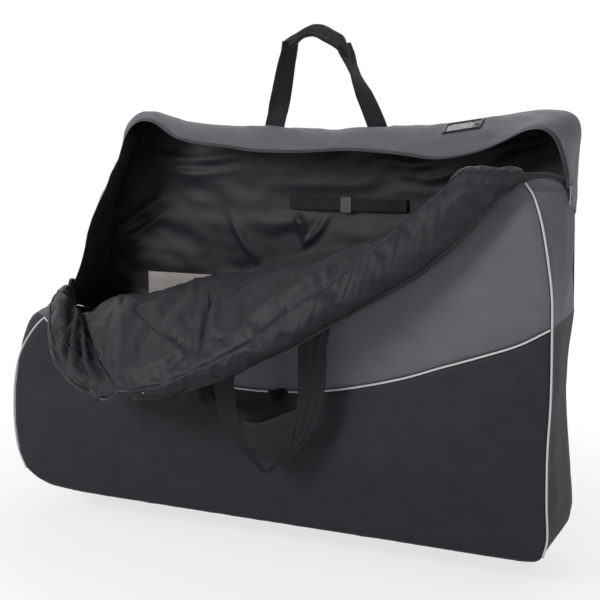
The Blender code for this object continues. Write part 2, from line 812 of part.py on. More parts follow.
def make_address_holder():
    """A clear pocket on the top with a card that slides out at its left end, and a round stud."""
    place = holder_frame()
    half = flat(HOLDER_LENGTH / 2, HOLDER_WIDTH / 2)
    window_low = flat(-half.x + HOLDER_RIM, -half.y + HOLDER_RIM)
    window_high = flat(half.x - HOLDER_END_RIM, half.y - HOLDER_RIM)
    card_top = CARD_LIFT + CARD + GAP
    frame = block("id_frame", (-half.x, -half.y, 0), (half.x, half.y, HOLDER), "black_plastic", place)
    opening = block(
        "window_opening",
        (window_low.x, window_low.y, -OVERRUN),
        (window_high.x, window_high.y, OVERRUN),
        "black_plastic",
        place,
    )
    margin = HOLDER_RIM / 2
    channel = block(
        "card_channel",
        (-half.x - OVERRUN, window_low.y - margin, -OVERRUN),
        (window_high.x + margin, window_high.y + margin, card_top),
        "black_plastic",
        place,
    )
    cut(frame, opening)
    cut(frame, channel)
    block(
        "id_card",
        (-half.x, window_low.y - margin + GAP, CARD_LIFT),
        (window_high.x + margin - GAP, window_high.y + margin - GAP, CARD_LIFT + CARD),
        "card",
        place,
    )
    block(
        "id_window",
        (window_low.x + GAP, window_low.y + GAP, card_top),
        (window_high.x - GAP, window_high.y - GAP, card_top + WINDOW),
        "clear_window",
        place,
    )
    shape = bmesh.new()
    bmesh.ops.create_cone(
        shape,
        cap_ends=True,
        segments=24,
        radius1=STUD_RADIUS,
        radius2=STUD_RADIUS,
        depth=STUD_HEIGHT,
    )
    middle = Vector((half.x - HOLDER_END_RIM / 2, 0, HOLDER + GAP + STUD_HEIGHT / 2))
    bmesh.ops.transform(shape, matrix=place @ Matrix.Translation(middle), verts=shape.verts)
    mesh = bpy.data.meshes.new("id_stud")
    shape.to_mesh(mesh)
    shape.free()
    stud = bpy.data.objects.new("id_stud", mesh)
    stud.data.materials.append(finish("black_plastic"))
    bpy.context.collection.objects.link(stud)
    bevel(stud, STUD_ROUND)


def back_handle_path():
    span = HANDLE_RIGHT_X - HANDLE_LEFT_X
    points = []
    for across, up, _ in BACK_HANDLE_PATH_SHARES:
        x = HANDLE_LEFT_X + span * across
        points.append(flat(x, HANDLE_PIVOT_Z + BACK_HANDLE_HEIGHT * up))
    return points


def make_back_handle():
    """Webbing that stands up behind the bag, its padded grip, and its two sewn-down legs.

    It turns about the outer edge of the legs, so that it folds down flat over them.
    """
    near = BACK_Y + GAP
    middle = (HANDLE_LEFT_X + HANDLE_RIGHT_X) / 2
    pivot = Vector((middle, near + WEBBING + GAP / 2, HANDLE_PIVOT_Z - GAP / 2))
    path = back_handle_path()
    halves = [WEBBING_WIDTH / 2 * width for _, _, width in BACK_HANDLE_PATH_SHARES]
    slab("back_handle", ribbon(path, halves), near, near + WEBBING, "webbing", pivot)

    grip_path = path[GRIP_FIRST : GRIP_LAST + 1]
    wide = [GRIP_HALF_WIDTH] * len(grip_path)
    start = near + WEBBING / 2 - GRIP / 2
    grip = slab("back_grip", ribbon(grip_path, wide), start, start + GRIP, "webbing", pivot)
    bevel(grip, GRIP_ROUND, 3)
    cleared = [half + GAP for half in halves]
    channel = slab(
        "back_grip_channel",
        ribbon(path, cleared),
        near - GAP,
        near + WEBBING + GAP,
        "webbing",
        pivot,
    )
    cut(grip, channel)

    foot = HANDLE_PIVOT_Z - BACK_ANCHOR_LENGTH
    for name, x in (("back_anchor_left", HANDLE_LEFT_X), ("back_anchor_right", HANDLE_RIGHT_X)):
        half = WEBBING_WIDTH / 2
        block(
            name,
            (x - half, near, foot),
            (x + half, near + WEBBING, HANDLE_PIVOT_Z - GAP),
            "webbing",
        )


def make_flap():
    """The flap, drawn closed: its panel, its right gusset and its piping, on the fold's hinge."""
    hinge = Vector((FOLD_LEFT.x, FRONT_Y, FOLD_LEFT.y))
    fold = Vector((FOLD_LINE.x, 0, FOLD_LINE.y))
    flap = empty("flap_hinge", hinge, Quaternion(fold, FLAP_OPEN))
    inset = PIPING_RADIUS + GAP
    left_in = Vector((LEFT_UP.y, -LEFT_UP.x)) * inset
    foot_left = FOLD_LEFT + FOLD_UP * GAP + LEFT_UP * inset + left_in
    foot_right = FOLD_RIGHT + FOLD_UP * GAP - flat(inset, 0)
    top_right = FLAP_TOP_RIGHT - flat(inset, inset)
    top_left = FLAP_TOP_LEFT + left_in - flat(0, inset)
    corners = [foot_left, foot_right, top_right, top_left]
    arcs = rounded(corners, [0, 0, FLAP_CORNER_RADIUS, FLAP_CORNER_RADIUS])
    outline = [point for arc in arcs for point in arc]
    slab("flap_panel", outline, FRONT_Y, FRONT_Y + PANEL, "grey_fabric", hinge, flap)

    low = FOLD_RIGHT_Z + PIPING_RADIUS
    high = FLAP_TOP_Z - GUSSET / 2 - GAP
    side = [flat(FOLD_RIGHT.x, low), flat(FOLD_RIGHT.x, high)]
    strip(
        "flap_right_gusset",
        side,
        GUSSET_FRONT_Y,
        FLAP_EDGE_Y + TAPE_WIDTH,
        0,
        -GUSSET,
        "grey_fabric",
        hinge,
        flap,
    )
    run = LEFT_UP * CORNER_CLEARANCE
    left_route = [FOLD_LEFT + LEFT_UP * BAND_START, FLAP_TOP_LEFT - run]
    top_route = [FLAP_TOP_LEFT + flat(CORNER_CLEARANCE, 0), FLAP_TOP_RIGHT - flat(inset, 0)]
    for name, path in (("flap_left_piping", left_route), ("flap_top_piping", top_route)):
        route = [Vector((point.x, SEAM_AXIS_Y, point.y)) for point in path]
        tube(name, route, PIPING_RADIUS, "grey_piping", flap, hinge)

    near = FRONT_Y - GAP - WEBBING
    for name, x in (("front_anchor_left", HANDLE_LEFT_X), ("front_anchor_right", HANDLE_RIGHT_X)):
        half = WEBBING_WIDTH / 2
        foot = HANDLE_PIVOT_Z - FRONT_ANCHOR_LENGTH
        outline = [flat(x - half, foot), flat(x + half, foot)]
        head = HANDLE_PIVOT_Z - GAP
        outline += [flat(x + half, head), flat(x - half, head)]
        slab(name, outline, near, near + WEBBING, "webbing", hinge, flap)
    return flap, hinge


def make_top_band(flap, hinge):
    """The front half of the top gusset with its zip tape, turned over along the flap's top seam."""
    seam = Vector((FLAP_TOP_LEFT.x, SEAM_AXIS_Y, FLAP_TOP_LEFT.y))
    band = empty("top_band_hinge", seam - hinge, Quaternion(Vector((1, 0, 0)), BAND_FLIP), flap)
    near = SEAM_AXIS_Y + PIPING_RADIUS + GAP
    path = [
        FLAP_TOP_RIGHT - flat(CORNER_CLEARANCE + GUSSET, 0),
        FLAP_TOP_LEFT + flat(CORNER_CLEARANCE, 0),
    ]
    half = GUSSET / 2
    strip("top_band", path, near, FLAP_EDGE_Y, half, -half, "grey_fabric", seam, band)
    start = FLAP_EDGE_Y + GAP
    half = TAPE / 2
    strip("top_band_tape", path, start, start + TAPE_WIDTH, half, -half, "zip_tape", seam, band)


def make_left_band(flap, hinge):
    """The front half of the left gusset with its zip tape. It narrows to nothing at the fold."""
    seam = Vector((FOLD_LEFT.x, SEAM_AXIS_Y, FOLD_LEFT.y))
    along = Vector((LEFT_UP.x, 0, LEFT_UP.y))
    out = Vector((-LEFT_UP.y, 0, LEFT_UP.x))
    band = empty("left_band_hinge", seam - hinge, Quaternion(along, BAND_FLIP), flap)
    length = (FLAP_TOP_LEFT - FOLD_LEFT).length - CORNER_CLEARANCE
    near = PIPING_RADIUS + GAP
    edge = FLAP_EDGE_Y - SEAM_AXIS_Y
    depth = Vector((0, 1, 0))
    half = out * GUSSET / 2
    corners = [
        along * BAND_START + depth * near,
        along * length + depth * near,
        along * length + depth * edge,
        along * BAND_TAPER + depth * edge,
    ]
    plate("left_band", corners, half, "grey_fabric", seam, band)
    near = edge + GAP
    edge = near + TAPE_WIDTH
    half = out * TAPE / 2
    corners = [
        along * BAND_TAPER + depth * near,
        along * length + depth * near,
        along * length + depth * edge,
        along * BAND_TAPER + depth * edge,
    ]
    plate("left_band_tape", corners, half, "zip_tape", seam, band)


def plate(name, corners, half, slot, origin, parent):
    """A flat piece between its corners, half as thick on each side of them."""
    count = len(corners)
    points = [origin + corner - half for corner in corners]
    points += [origin + corner + half for corner in corners]
    faces = [tuple(range(count)), tuple(range(2 * count - 1, count - 1, -1))]
    for index in range(count):
        after = (index + 1) % count
        faces.append((after, index, index + count, after + count))
    made = add_mesh(name, points, faces, slot, origin, parent)
    face_outwards(made)
    return made


def opened(point, hinge):
    """Where a point of the closed flap lies when the flap is open."""
    fold = Vector((FOLD_LINE.x, 0, FOLD_LINE.y))
    return hinge + Quaternion(fold, FLAP_OPEN) @ (point - hinge)


def front_pivots(hinge):
    """Where the webbing of the front handle turns, left and right, with the flap open."""
    y = FRONT_Y - GAP - WEBBING - GAP / 2
    left = opened(Vector((HANDLE_LEFT_X, y, HANDLE_PIVOT_Z - GAP / 2)), hinge)
    right = opened(Vector((HANDLE_RIGHT_X, y, HANDLE_PIVOT_Z - GAP / 2)), hinge)
    return left, right


def make_front_handle(hinge):
    """Webbing that hangs plumb from the open flap in a V, and the open wrap of its grip."""
    left, right = front_pivots(hinge)
    level = Vector((right.x - left.x, right.y - left.y, 0)).normalized()
    up = Vector((0, 0, 1))
    out = level.cross(up)
    place = local_frame(left, level, up, out)
    across = (right - left).dot(level)
    rise = (right - left).dot(up)
    path = []
    for side, drop, _ in FRONT_HANDLE_LEFT_SHARES:
        path.append(flat(FRONT_HANDLE_POINT * side, -FRONT_HANDLE_DROP * drop))
    for side, drop, _ in FRONT_HANDLE_RIGHT_SHARES:
        x = across - (across - FRONT_HANDLE_POINT) * side
        path.append(flat(x, rise - (rise + FRONT_HANDLE_DROP) * drop))
    sides = FRONT_HANDLE_LEFT_SHARES + FRONT_HANDLE_RIGHT_SHARES
    halves = [WEBBING_WIDTH / 2 * width for _, _, width in sides]
    outline = level_ends(ribbon(path, halves), path[0], path[-1])
    near = GAP / 2
    handle = prism("front_handle", outline, near, near + WEBBING, "webbing", place)
    move_origin(handle, (left + right) / 2)

    low, high = wrap_seam(outline)
    corners = [low, high, high - flat(WRAP_HIGH_WIDTH, 0), low - flat(WRAP_LOW_WIDTH, 0)]
    arcs = rounded(corners, [0, 0, WRAP_CORNER_RADIUS, WRAP_CORNER_RADIUS])
    outline = [point for arc in arcs for point in arc]
    wrap = prism("front_grip_wrap", outline, near, near + WRAP, "webbing", place)
    move_origin(wrap, place @ Vector((low.x, low.y, near + WRAP)))


def wrap_seam(outline):
    """The edge of the wrap that is sewn to the inner edge of the right leg, low end first."""
    inner = outline[len(outline) // 2 :][::-1]
    foot = inner[WRAP_STATION]
    head = inner[WRAP_STATION + 1]
    along = (head - foot).normalized()
    clear = Vector((-along.y, along.x)) * GAP
    low = foot.lerp(head, WRAP_LOW_SHARE) + clear
    high = foot.lerp(head, WRAP_HIGH_SHARE) + clear
    return low, high


def move_origin(made, origin):
    """Put an object's origin on its joint's axis and keep its shape where it is."""
    made.data.transform(Matrix.Translation(-origin))
    made.location = origin


def make_grab_loop():
    """A short webbing loop sewn into the front seam, which sags below it."""
    span = LOOP_RIGHT_X - LOOP_LEFT_X
    seam = seam_points()
    path = []
    for side, drop in LOOP_PATH_SHARES:
        x = LOOP_LEFT_X + span * side
        ends = at_x(seam, LOOP_LEFT_X).lerp(at_x(seam, LOOP_RIGHT_X), side)
        path.append(flat(x, ends.y - LOOP_CLEARANCE - LOOP_DROP * drop))
    start = at_x(seam, LOOP_LEFT_X)
    far = FRONT_Y - GAP
    pivot = Vector((start.x, far - WEBBING / 2, path[0].y))
    halves = [LOOP_WIDTH / 2] * len(path)
    outline = level_ends(ribbon(path, halves), path[0], path[-1])
    slab("grab_loop", outline, far - WEBBING, far, "webbing", pivot)


def make_slider(name, path, height, travel_up):
    """A zip slider that clasps the rear tape, with the bridge that holds its pull."""
    point = at_height(path, height)
    along = travel_up
    out = Vector((along.z, 0, -along.x)) * (1 if point.x > 0 else -1)
    depth = Vector((0, 1, 0))
    centre = Vector((point.x, ZIP_Y, point.y))
    place = local_frame(centre, depth, out, along)
    half = SLIDER_LENGTH / 2
    slot_out = -TAPE_INSET + GAP
    slot_in = -TAPE_INSET - TAPE - GAP
    top = slot_out + SLIDER_PLATE
    bottom = slot_in - SLIDER_PLATE
    post = -REAR_ZIP_REACH - GAP
    profile = [
        flat(-SLIDER_REACH, bottom),
        flat(SLIDER_REACH, bottom),
        flat(SLIDER_REACH, slot_in),
        flat(post, slot_in),
        flat(post, slot_out),
        flat(SLIDER_REACH, slot_out),
        flat(SLIDER_REACH, top),
        flat(-SLIDER_REACH, top),
    ]
    body = prism(name, profile, -half, half, "dark_metal", place)

    pivot = top + PIVOT_HEIGHT
    bar_low = pivot + EYE_HALF_HEIGHT
    bar_high = bar_low + BRIDGE_BAR
    reach = BRIDGE_LENGTH / 2
    inner = reach - BRIDGE_POST
    sunk = top - SLIDER_PLATE / 2
    arch = [
        flat(-reach, sunk),
        flat(-inner, sunk),
        flat(-inner, bar_low),
        flat(inner, bar_low),
        flat(inner, sunk),
        flat(reach, sunk),
        flat(reach, bar_high),
        flat(-reach, bar_high),
    ]
    arch_place = local_frame(centre, along, out, depth)
    width = BRIDGE_WIDTH / 2
    bridge = prism(name + "_bridge", arch, -width, width, "dark_metal", arch_place)
    join(body, bridge)
    return centre + out * pivot


def make_pull(name, pivot, hang, side):
    """A flat pull whose cross bar turns in the slider's bridge."""
    out = Vector((hang.z, 0, -hang.x)) * side
    depth = Vector((0, 1, 0))
    place = local_frame(pivot, depth, hang, out)
    tip = PULL_LENGTH - PULL_TIP_RADIUS
    outline = [
        flat(PULL_HALF_WIDTH, -PULL_BAR),
        flat(PULL_HALF_WIDTH, PULL_EYE_END + PULL_ARM),
        flat(PULL_ARM, PULL_EYE_END + 2 * PULL_ARM),
    ]
    for step in range(PULL_STEPS + 1):
        angle = -math.pi / 3 + (math.pi + 2 * math.pi / 3) * step / PULL_STEPS
        outline.append(flat(math.cos(angle), math.sin(angle)) * PULL_TIP_RADIUS + flat(0, tip))
    outline += [
        flat(-PULL_ARM, PULL_EYE_END + 2 * PULL_ARM),
        flat(-PULL_HALF_WIDTH, PULL_EYE_END + PULL_ARM),
        flat(-PULL_HALF_WIDTH, -PULL_BAR),
    ]
    pull = prism(name, outline, -PULL / 2, PULL / 2, "dark_metal", place)
    eye = [
        flat(-PULL_ARM, PULL_BAR),
        flat(PULL_ARM, PULL_BAR),
        flat(PULL_ARM, PULL_EYE_END),
        flat(-PULL_ARM, PULL_EYE_END),
    ]
    cut(pull, prism(name + "_eye", eye, -OVERRUN, OVERRUN, "dark_metal", place))
    hole = []
    for step in range(PULL_STEPS):
        angle = 2 * math.pi * step / PULL_STEPS
        hole.append(flat(math.cos(angle), math.sin(angle)) * PULL_HOLE_RADIUS + flat(0, tip))
    cut(pull, prism(name + "_hole", hole, -OVERRUN, OVERRUN, "dark_metal", place))


def make_zip_hardware():
    """Two sliders with their pulls, at the two ends of the zip."""
    left_up = Vector((LEFT_UP.x, 0, LEFT_UP.y))
    right_up = Vector((RIGHT_UP.x, 0, RIGHT_UP.y))
    pivot = make_slider("left_slider", LEFT_SIDE, LEFT_SLIDER_Z, left_up)
    make_pull("left_pull", pivot, -left_up, 1)
    pivot = make_slider("right_slider", RIGHT_SIDE, RIGHT_SLIDER_Z, right_up)
    make_pull("right_pull", pivot, Vector((0, 0, -1)), -1)


def build():
    clear_scene()
    make_panels()
    make_piping()
    make_base()
    make_ends()
    make_rear_top()
    make_divider()
    make_wheel_strap()
    make_address_holder()
    make_back_handle()
    flap, hinge = make_flap()
    make_top_band(flap, hinge)
    make_left_band(flap, hinge)
    make_front_handle(hinge)
    make_grab_loop()
    make_zip_hardware()


build()
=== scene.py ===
"""Looks of the soft bike travel bag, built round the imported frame.

The bag is cut from padded nylon: black below a curved seam and grey above it, lined in black.
Its upper front is unzipped and folded out, so the lining and the inside show.
"""

import math

import bpy
import numpy as np
from mathutils import Matrix, Vector, noise


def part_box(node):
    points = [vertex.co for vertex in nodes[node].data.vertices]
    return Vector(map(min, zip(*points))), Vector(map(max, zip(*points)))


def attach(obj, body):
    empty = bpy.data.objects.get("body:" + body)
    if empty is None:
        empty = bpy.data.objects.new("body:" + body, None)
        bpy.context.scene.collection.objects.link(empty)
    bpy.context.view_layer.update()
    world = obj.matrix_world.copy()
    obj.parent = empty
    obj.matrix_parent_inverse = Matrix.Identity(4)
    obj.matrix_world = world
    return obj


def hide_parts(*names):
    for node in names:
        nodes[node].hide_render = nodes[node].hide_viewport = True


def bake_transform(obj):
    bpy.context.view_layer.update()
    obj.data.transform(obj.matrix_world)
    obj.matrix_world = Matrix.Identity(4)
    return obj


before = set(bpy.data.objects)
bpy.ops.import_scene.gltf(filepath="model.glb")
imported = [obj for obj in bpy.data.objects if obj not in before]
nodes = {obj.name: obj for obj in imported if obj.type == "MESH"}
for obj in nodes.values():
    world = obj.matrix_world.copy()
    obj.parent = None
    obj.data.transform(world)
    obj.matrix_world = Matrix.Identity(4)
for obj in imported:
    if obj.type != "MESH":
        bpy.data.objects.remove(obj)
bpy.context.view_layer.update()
bpy.ops.object.select_all(action="DESELECT")


# Camera: at standing height, to the right of the bag, and looking slightly down on it.
# Its place and lens give the photographed view in a square picture.
CAMERA_PLACE = Vector((1.0433, -2.2036, 0.8322))
CAMERA_TURN = 0.4239
CAMERA_DIP = 0.15
LENS = 67.57
SENSOR = 36.0
PICTURE = 600
camera_data = bpy.data.cameras.new("camera")
camera_data.lens = LENS
camera_data.sensor_width = SENSOR
camera = bpy.data.objects.new("camera", camera_data)
camera.location = CAMERA_PLACE
camera.rotation_euler = (math.pi / 2 - CAMERA_DIP, 0, CAMERA_TURN)
bpy.context.collection.objects.link(camera)
bpy.context.scene.camera = camera
bpy.context.scene.view_settings.view_transform = "Standard"


def sight_line(u, v):
    """The direction in which the camera sees a pixel of its square picture."""
    turn = camera.rotation_euler.to_matrix()
    step = SENSOR / (LENS * PICTURE)
    return turn @ Vector(((u - PICTURE / 2) * step, (PICTURE / 2 - v) * step, -1))


def at_pixel(u, v, y):
    """The point at depth y that the camera sees at a pixel."""
    ray = sight_line(u, v)
    return CAMERA_PLACE + ray * (y - CAMERA_PLACE.y) / ray.y


def at_plane(u, v, point, normal):
    """The point of a plane that the camera sees at a pixel."""
    ray = sight_line(u, v)
    return CAMERA_PLACE + ray * (Vector(point) - CAMERA_PLACE).dot(normal) / ray.dot(normal)


def seen_at(points):
    """The pixels at which the camera sees an array of points."""
    turn = np.array(camera.rotation_euler.to_matrix())
    local = (points - np.array(CAMERA_PLACE)) @ turn
    reach = LENS * PICTURE / SENSOR
    across = PICTURE / 2 - reach * local[..., 0] / local[..., 2]
    down = PICTURE / 2 + reach * local[..., 1] / local[..., 2]
    return np.stack([across, down], axis=-1)


# Floor: a broad sheet of pale paper that carries the bag's shadow and runs out to white. It lies
# a little under the base. World and lamps: a light tent, with a soft key from the upper left.
FLOOR_SIZE = 14.0
FLOOR_DROP = 0.0621
FLOOR_TONE = 0.92
FADE_NEAR = 0.55
FADE_FAR = 1.3
FADE_LEAST = 0.7
WORLD_STRENGTH = 0.38
WHITE = (1, 1, 1, 1)
LAMP_AIM = Vector((0, 0, 0.4))
LAMPS = {
    "key_light": ((-1.5, -3.1, 1.9), 1.3, 84.0),
    "fill_light": ((3.1, -2.2, 0.9), 1.5, 26.0),
    "top_light": ((0.2, 0.9, 3.0), 1.6, 9.0),
    "back_light": ((-0.6, 3.2, 1.8), 2.2, 18.0),
}


def set_inputs(tree, node, inputs):
    """Link or set the inputs of a shader node, each under its name or number."""
    for socket, value in inputs.items():
        if isinstance(value, bpy.types.NodeSocket):
            tree.links.new(value, node.inputs[socket])
        else:
            node.inputs[socket].default_value = value


def add_node(tree, kind, inputs=None, **settings):
    node = tree.nodes.new(f"ShaderNode{kind}")
    for setting, value in settings.items():
        setattr(node, setting, value)
    set_inputs(tree, node, inputs or {})
    return node


def maths(tree, operation, *values):
    return add_node(tree, "Math", dict(enumerate(values)), operation=operation).outputs[0]


def new_material(name):
    made = bpy.data.materials.new(name)
    made.use_nodes = True
    return made, made.node_tree, made.node_tree.nodes["Principled BSDF"]


bpy.ops.mesh.primitive_plane_add(size=FLOOR_SIZE, location=(0, 0, -FLOOR_DROP))
bpy.ops.object.transform_apply(location=True)
floor = bpy.context.object
floor.name = "floor"
floor.select_set(False)
paper, tree, shader = new_material("floor_paper")
tone = (FLOOR_TONE, FLOOR_TONE, FLOOR_TONE, 1)
set_inputs(tree, shader, {"Base Color": tone, "Roughness": 0.95, "Specular IOR Level": 0.1})
white = add_node(tree, "Emission", {"Color": WHITE})
place = add_node(tree, "TexCoord").outputs["Object"]
away = add_node(tree, "VectorMath", {0: place}, operation="LENGTH").outputs["Value"]
reach = {"Value": away, "From Min": FADE_NEAR, "From Max": FADE_FAR, "To Min": FADE_LEAST}
fade = add_node(tree, "MapRange", reach).outputs["Result"]
seen = maths(tree, "MULTIPLY", fade, add_node(tree, "LightPath").outputs["Is Camera Ray"])
mix = add_node(tree, "MixShader", {"Fac": seen, 1: shader.outputs[0], 2: white.outputs[0]})
set_inputs(tree, tree.nodes["Material Output"], {"Surface": mix.outputs[0]})
floor.data.materials.append(paper)

world = bpy.data.worlds.new("light_tent")
bpy.context.scene.world = world
world.use_nodes = True
sky = world.node_tree
sky.nodes.clear()
rays = add_node(sky, "LightPath").outputs
seen = maths(sky, "MAXIMUM", rays["Is Camera Ray"], rays["Is Glossy Ray"])
seen = maths(sky, "MAXIMUM", seen, rays["Is Transmission Ray"])
light = add_node(sky, "Background", {"Color": WHITE, "Strength": WORLD_STRENGTH})
plain = add_node(sky, "Background", {"Color": WHITE})
mix = add_node(sky, "MixShader", {"Fac": seen, 1: light.outputs[0], 2: plain.outputs[0]})
add_node(sky, "OutputWorld", {"Surface": mix.outputs[0]})

for name, (spot, size, power) in LAMPS.items():
    lamp_data = bpy.data.lights.new(name, "AREA")
    lamp_data.shape = "DISK"
    lamp_data.size = size
    lamp_data.energy = power
    lamp = bpy.data.objects.new(name, lamp_data)
    lamp.location = spot
    lamp.rotation_euler = (LAMP_AIM - Vector(spot)).to_track_quat("-Z", "Y").to_euler()
    bpy.context.collection.objects.link(lamp)


# Lower covers: black padded nylon front and back, from the base up to the curved seam.
# Each is laid out as a grid over its sewn edges, then puffed, creased and given its thickness.
CELL = 0.006
SPLINE_STEPS = 24
SEWN_ROUND = 0.014
CREASE_STEPS = 40
SEWN_RIM = 0.0016


def as_rows(points):
    return np.array([tuple(point) for point in points], float)


def smooth_line(points, count):
    """A smooth curve through chosen points, as evenly spaced points."""
    points = as_rows(points)
    before = 2 * points[0] - points[1]
    after = 2 * points[-1] - points[-2]
    padded = np.vstack([before, points, after])
    chords = np.linalg.norm(np.diff(padded, axis=0), axis=1) ** 0.5
    knots = np.concatenate([[0], np.cumsum(chords)])
    dense = []
    for index in range(1, len(padded) - 2):
        for share in np.linspace(0, 1, SPLINE_STEPS, endpoint=index == len(padded) - 3):
            dense.append(spline_point(padded, knots, index, share))
    return even(np.array(dense), count)


def spline_point(points, knots, index, share):
    """A point of the curve, between the point of that index and the next."""
    a, b, c, d = points[index - 1 : index + 3]
    ka, kb, kc, kd = knots[index - 1 : index + 3]
    place = kb + (kc - kb) * share
    ab = a + (b - a) * (place - ka) / (kb - ka)
    bc = b + (c - b) * (place - kb) / (kc - kb)
    cd = c + (d - c) * (place - kc) / (kd - kc)
    abc = ab + (bc - ab) * (place - ka) / (kc - ka)
    bcd = bc + (cd - bc) * (place - kb) / (kd - kb)
    return abc + (bcd - abc) * (place - kb) / (kc - kb)


def runs_along(points):
    """The distance of each point of a line from its start."""
    steps = np.linalg.norm(np.diff(points, axis=0), axis=1)
    return np.concatenate([[0], np.cumsum(steps)])


def rows_at(points, along, wanted):
    """The points of a line at wanted places, given the place of each of its points."""
    return np.stack([np.interp(wanted, along, column) for column in points.T], axis=1)


def even(points, count):
    """The same line with its points evenly spaced."""
    points = as_rows(points)
    along = runs_along(points)
    return rows_at(points, along, np.linspace(0, along[-1], count))


def line_length(points):
    return float(runs_along(as_rows(points))[-1])


def steps_over(length):
    """The number of points in a row over a length of cloth."""
    return max(6, int(length / CELL))


def span_patch(bottom, top, left, right):
    """A sheet stretched over four edges: bottom and top run left to right, the others upwards."""
    columns, rows = len(bottom), len(left)
    u = np.linspace(0, 1, columns)[None, :, None]
    v = np.linspace(0, 1, rows)[:, None, None]
    across = left[:, None, :] * (1 - u) + right[:, None, :] * u
    up = bottom[None] * (1 - v) + top[None] * v
    low = bottom[0] * (1 - u) + bottom[-1] * u
    high = top[0] * (1 - u) + top[-1] * u
    return across + up - low * (1 - v) - high * v


def between_lines(lines, rows):
    """A sheet through lines that run left to right, smooth from one to the next."""
    stack = np.stack(lines)
    grid = np.zeros((rows, *stack.shape[1:]))
    knots = np.linspace(0, 1, len(lines))
    slopes = np.zeros_like(stack)
    for index in range(len(lines)):
        low, high = max(index - 1, 0), min(index + 1, len(lines) - 1)
        slopes[index] = (stack[high] - stack[low]) / (knots[high] - knots[low])
    for row, share in enumerate(np.linspace(0, 1, rows)):
        index = min(int(np.searchsorted(knots, share, side="right")) - 1, len(lines) - 2)
        width = knots[index + 1] - knots[index]
        t = (share - knots[index]) / width
        grid[row] = (2 * t**3 - 3 * t**2 + 1) * stack[index]
        grid[row] += (t**3 - 2 * t**2 + t) * width * slopes[index]
        grid[row] += (3 * t**2 - 2 * t**3) * stack[index + 1]
        grid[row] += (t**3 - t**2) * width * slopes[index + 1]
    return grid


def unit(vectors):
    return vectors / np.maximum(np.linalg.norm(vectors, axis=-1, keepdims=True), 1e-9)


def sheet_normals(grid):
    return unit(np.cross(np.gradient(grid, axis=1), np.gradient(grid, axis=0)))


def sheet_lengths(grid):
    """The distances in metres from the left edge and from the bottom edge, at each point."""
    rows, columns = grid.shape[:2]
    across = np.zeros((rows, columns))
    across[:, 1:] = np.cumsum(np.linalg.norm(np.diff(grid, axis=1), axis=2), axis=1)
    up = np.zeros((rows, columns))
    up[1:] = np.cumsum(np.linalg.norm(np.diff(grid, axis=0), axis=2), axis=0)
    return across, up


def edge_distances(grid):
    """The distances of each point from the nearer side, from the nearer end and from both."""
    across, up = sheet_lengths(grid)
    sides = np.minimum(across, across[:, -1:] - across)
    ends = np.minimum(up, up[-1:] - up)
    return sides, ends, np.minimum(sides, ends)


def ramp(distance, reach):
    """0 at an edge, rising smoothly to 1 at its reach."""
    share = np.clip(distance / reach, 0, 1)
    return share * share * (3 - 2 * share)


def rounding(distance, radius):
    """The rise of a padded edge: a quarter round of that radius, as a share."""
    return np.sqrt(np.clip(1 - (1 - np.clip(distance / radius, 0, 1)) ** 2, 0, 1))


def ripple(grid, size, seed, stretch=(1, 1)):
    """Smooth noise over a sheet, with bumps of about the given size in metres."""
    across, up = sheet_lengths(grid)
    values = np.zeros(across.shape)
    for index in np.ndindex(across.shape):
        place = (across[index] / size / stretch[0], up[index] / size / stretch[1], seed)
        values[index] = noise.noise(place)
    return values


def puckers(distance, along, pitch, reach, seed):
    """Short wrinkles that run away from a seam, at an uneven pitch."""
    values = np.zeros(distance.shape)
    for index in np.ndindex(distance.shape):
        values[index] = noise.noise((along[index] / pitch, distance[index] / reach / 2, seed))
    return values * np.exp(-distance / reach)


def nearest_on(grid, point):
    """The place in a sheet of the point nearest to a given one."""
    apart = np.linalg.norm(grid - np.array(point), axis=2)
    return np.unravel_index(np.argmin(apart), apart.shape)


def crease(grid, pixels, width):
    """A fold along a line of the picture: 1 on its line, fading to 0 at its width and ends."""
    seen = seen_at(grid)
    marks = smooth_line([grid[nearest_on(seen, pixel)] for pixel in pixels], CREASE_STEPS)
    nearest = np.full(grid.shape[:2], np.inf)
    share = np.zeros(grid.shape[:2])
    for index, mark in enumerate(marks):
        apart = np.linalg.norm(grid - mark, axis=2)
        share = np.where(apart < nearest, index / (CREASE_STEPS - 1), share)
        nearest = np.minimum(apart, nearest)
    fade = np.sqrt(np.sin(np.pi * np.clip(share, 0.03, 0.97)))
    return np.exp(-((nearest / width) ** 2)) * fade


def creases(grid, folds):
    """The sum of the folds in a list, each with its line, its height and its width."""
    heights = np.zeros(grid.shape[:2])
    for pixels, height, width in folds:
        heights = heights + height * crease(grid, pixels, width)
    return heights


def add_mesh(name, points, faces, uvs, materials, slots=None):
    """A smooth mesh object with a UV place, in metres of cloth, for each of its points."""
    mesh = bpy.data.meshes.new(name)
    mesh.from_pydata(np.asarray(points).tolist(), [], [tuple(map(int, face)) for face in faces])
    for material in materials:
        mesh.materials.append(material)
    if slots is not None:
        mesh.polygons.foreach_set("material_index", np.asarray(slots, int))
    layer = mesh.uv_layers.new(name="cloth")
    corners = np.zeros(len(mesh.loops), int)
    mesh.loops.foreach_get("vertex_index", corners)
    layer.data.foreach_set("uv", np.asarray(uvs, float)[corners].ravel())
    mesh.polygons.foreach_set("use_smooth", np.ones(len(mesh.polygons), bool))
    mesh.update()
    made = bpy.data.objects.new(name, mesh)
    bpy.context.collection.objects.link(made)
    return made


def grid_quads(rows, columns):
    index = np.arange(rows * columns).reshape(rows, columns)
    corners = [index[:-1, :-1], index[:-1, 1:], index[1:, 1:], index[1:, :-1]]
    return index, np.stack(corners, axis=-1).reshape(-1, 4)


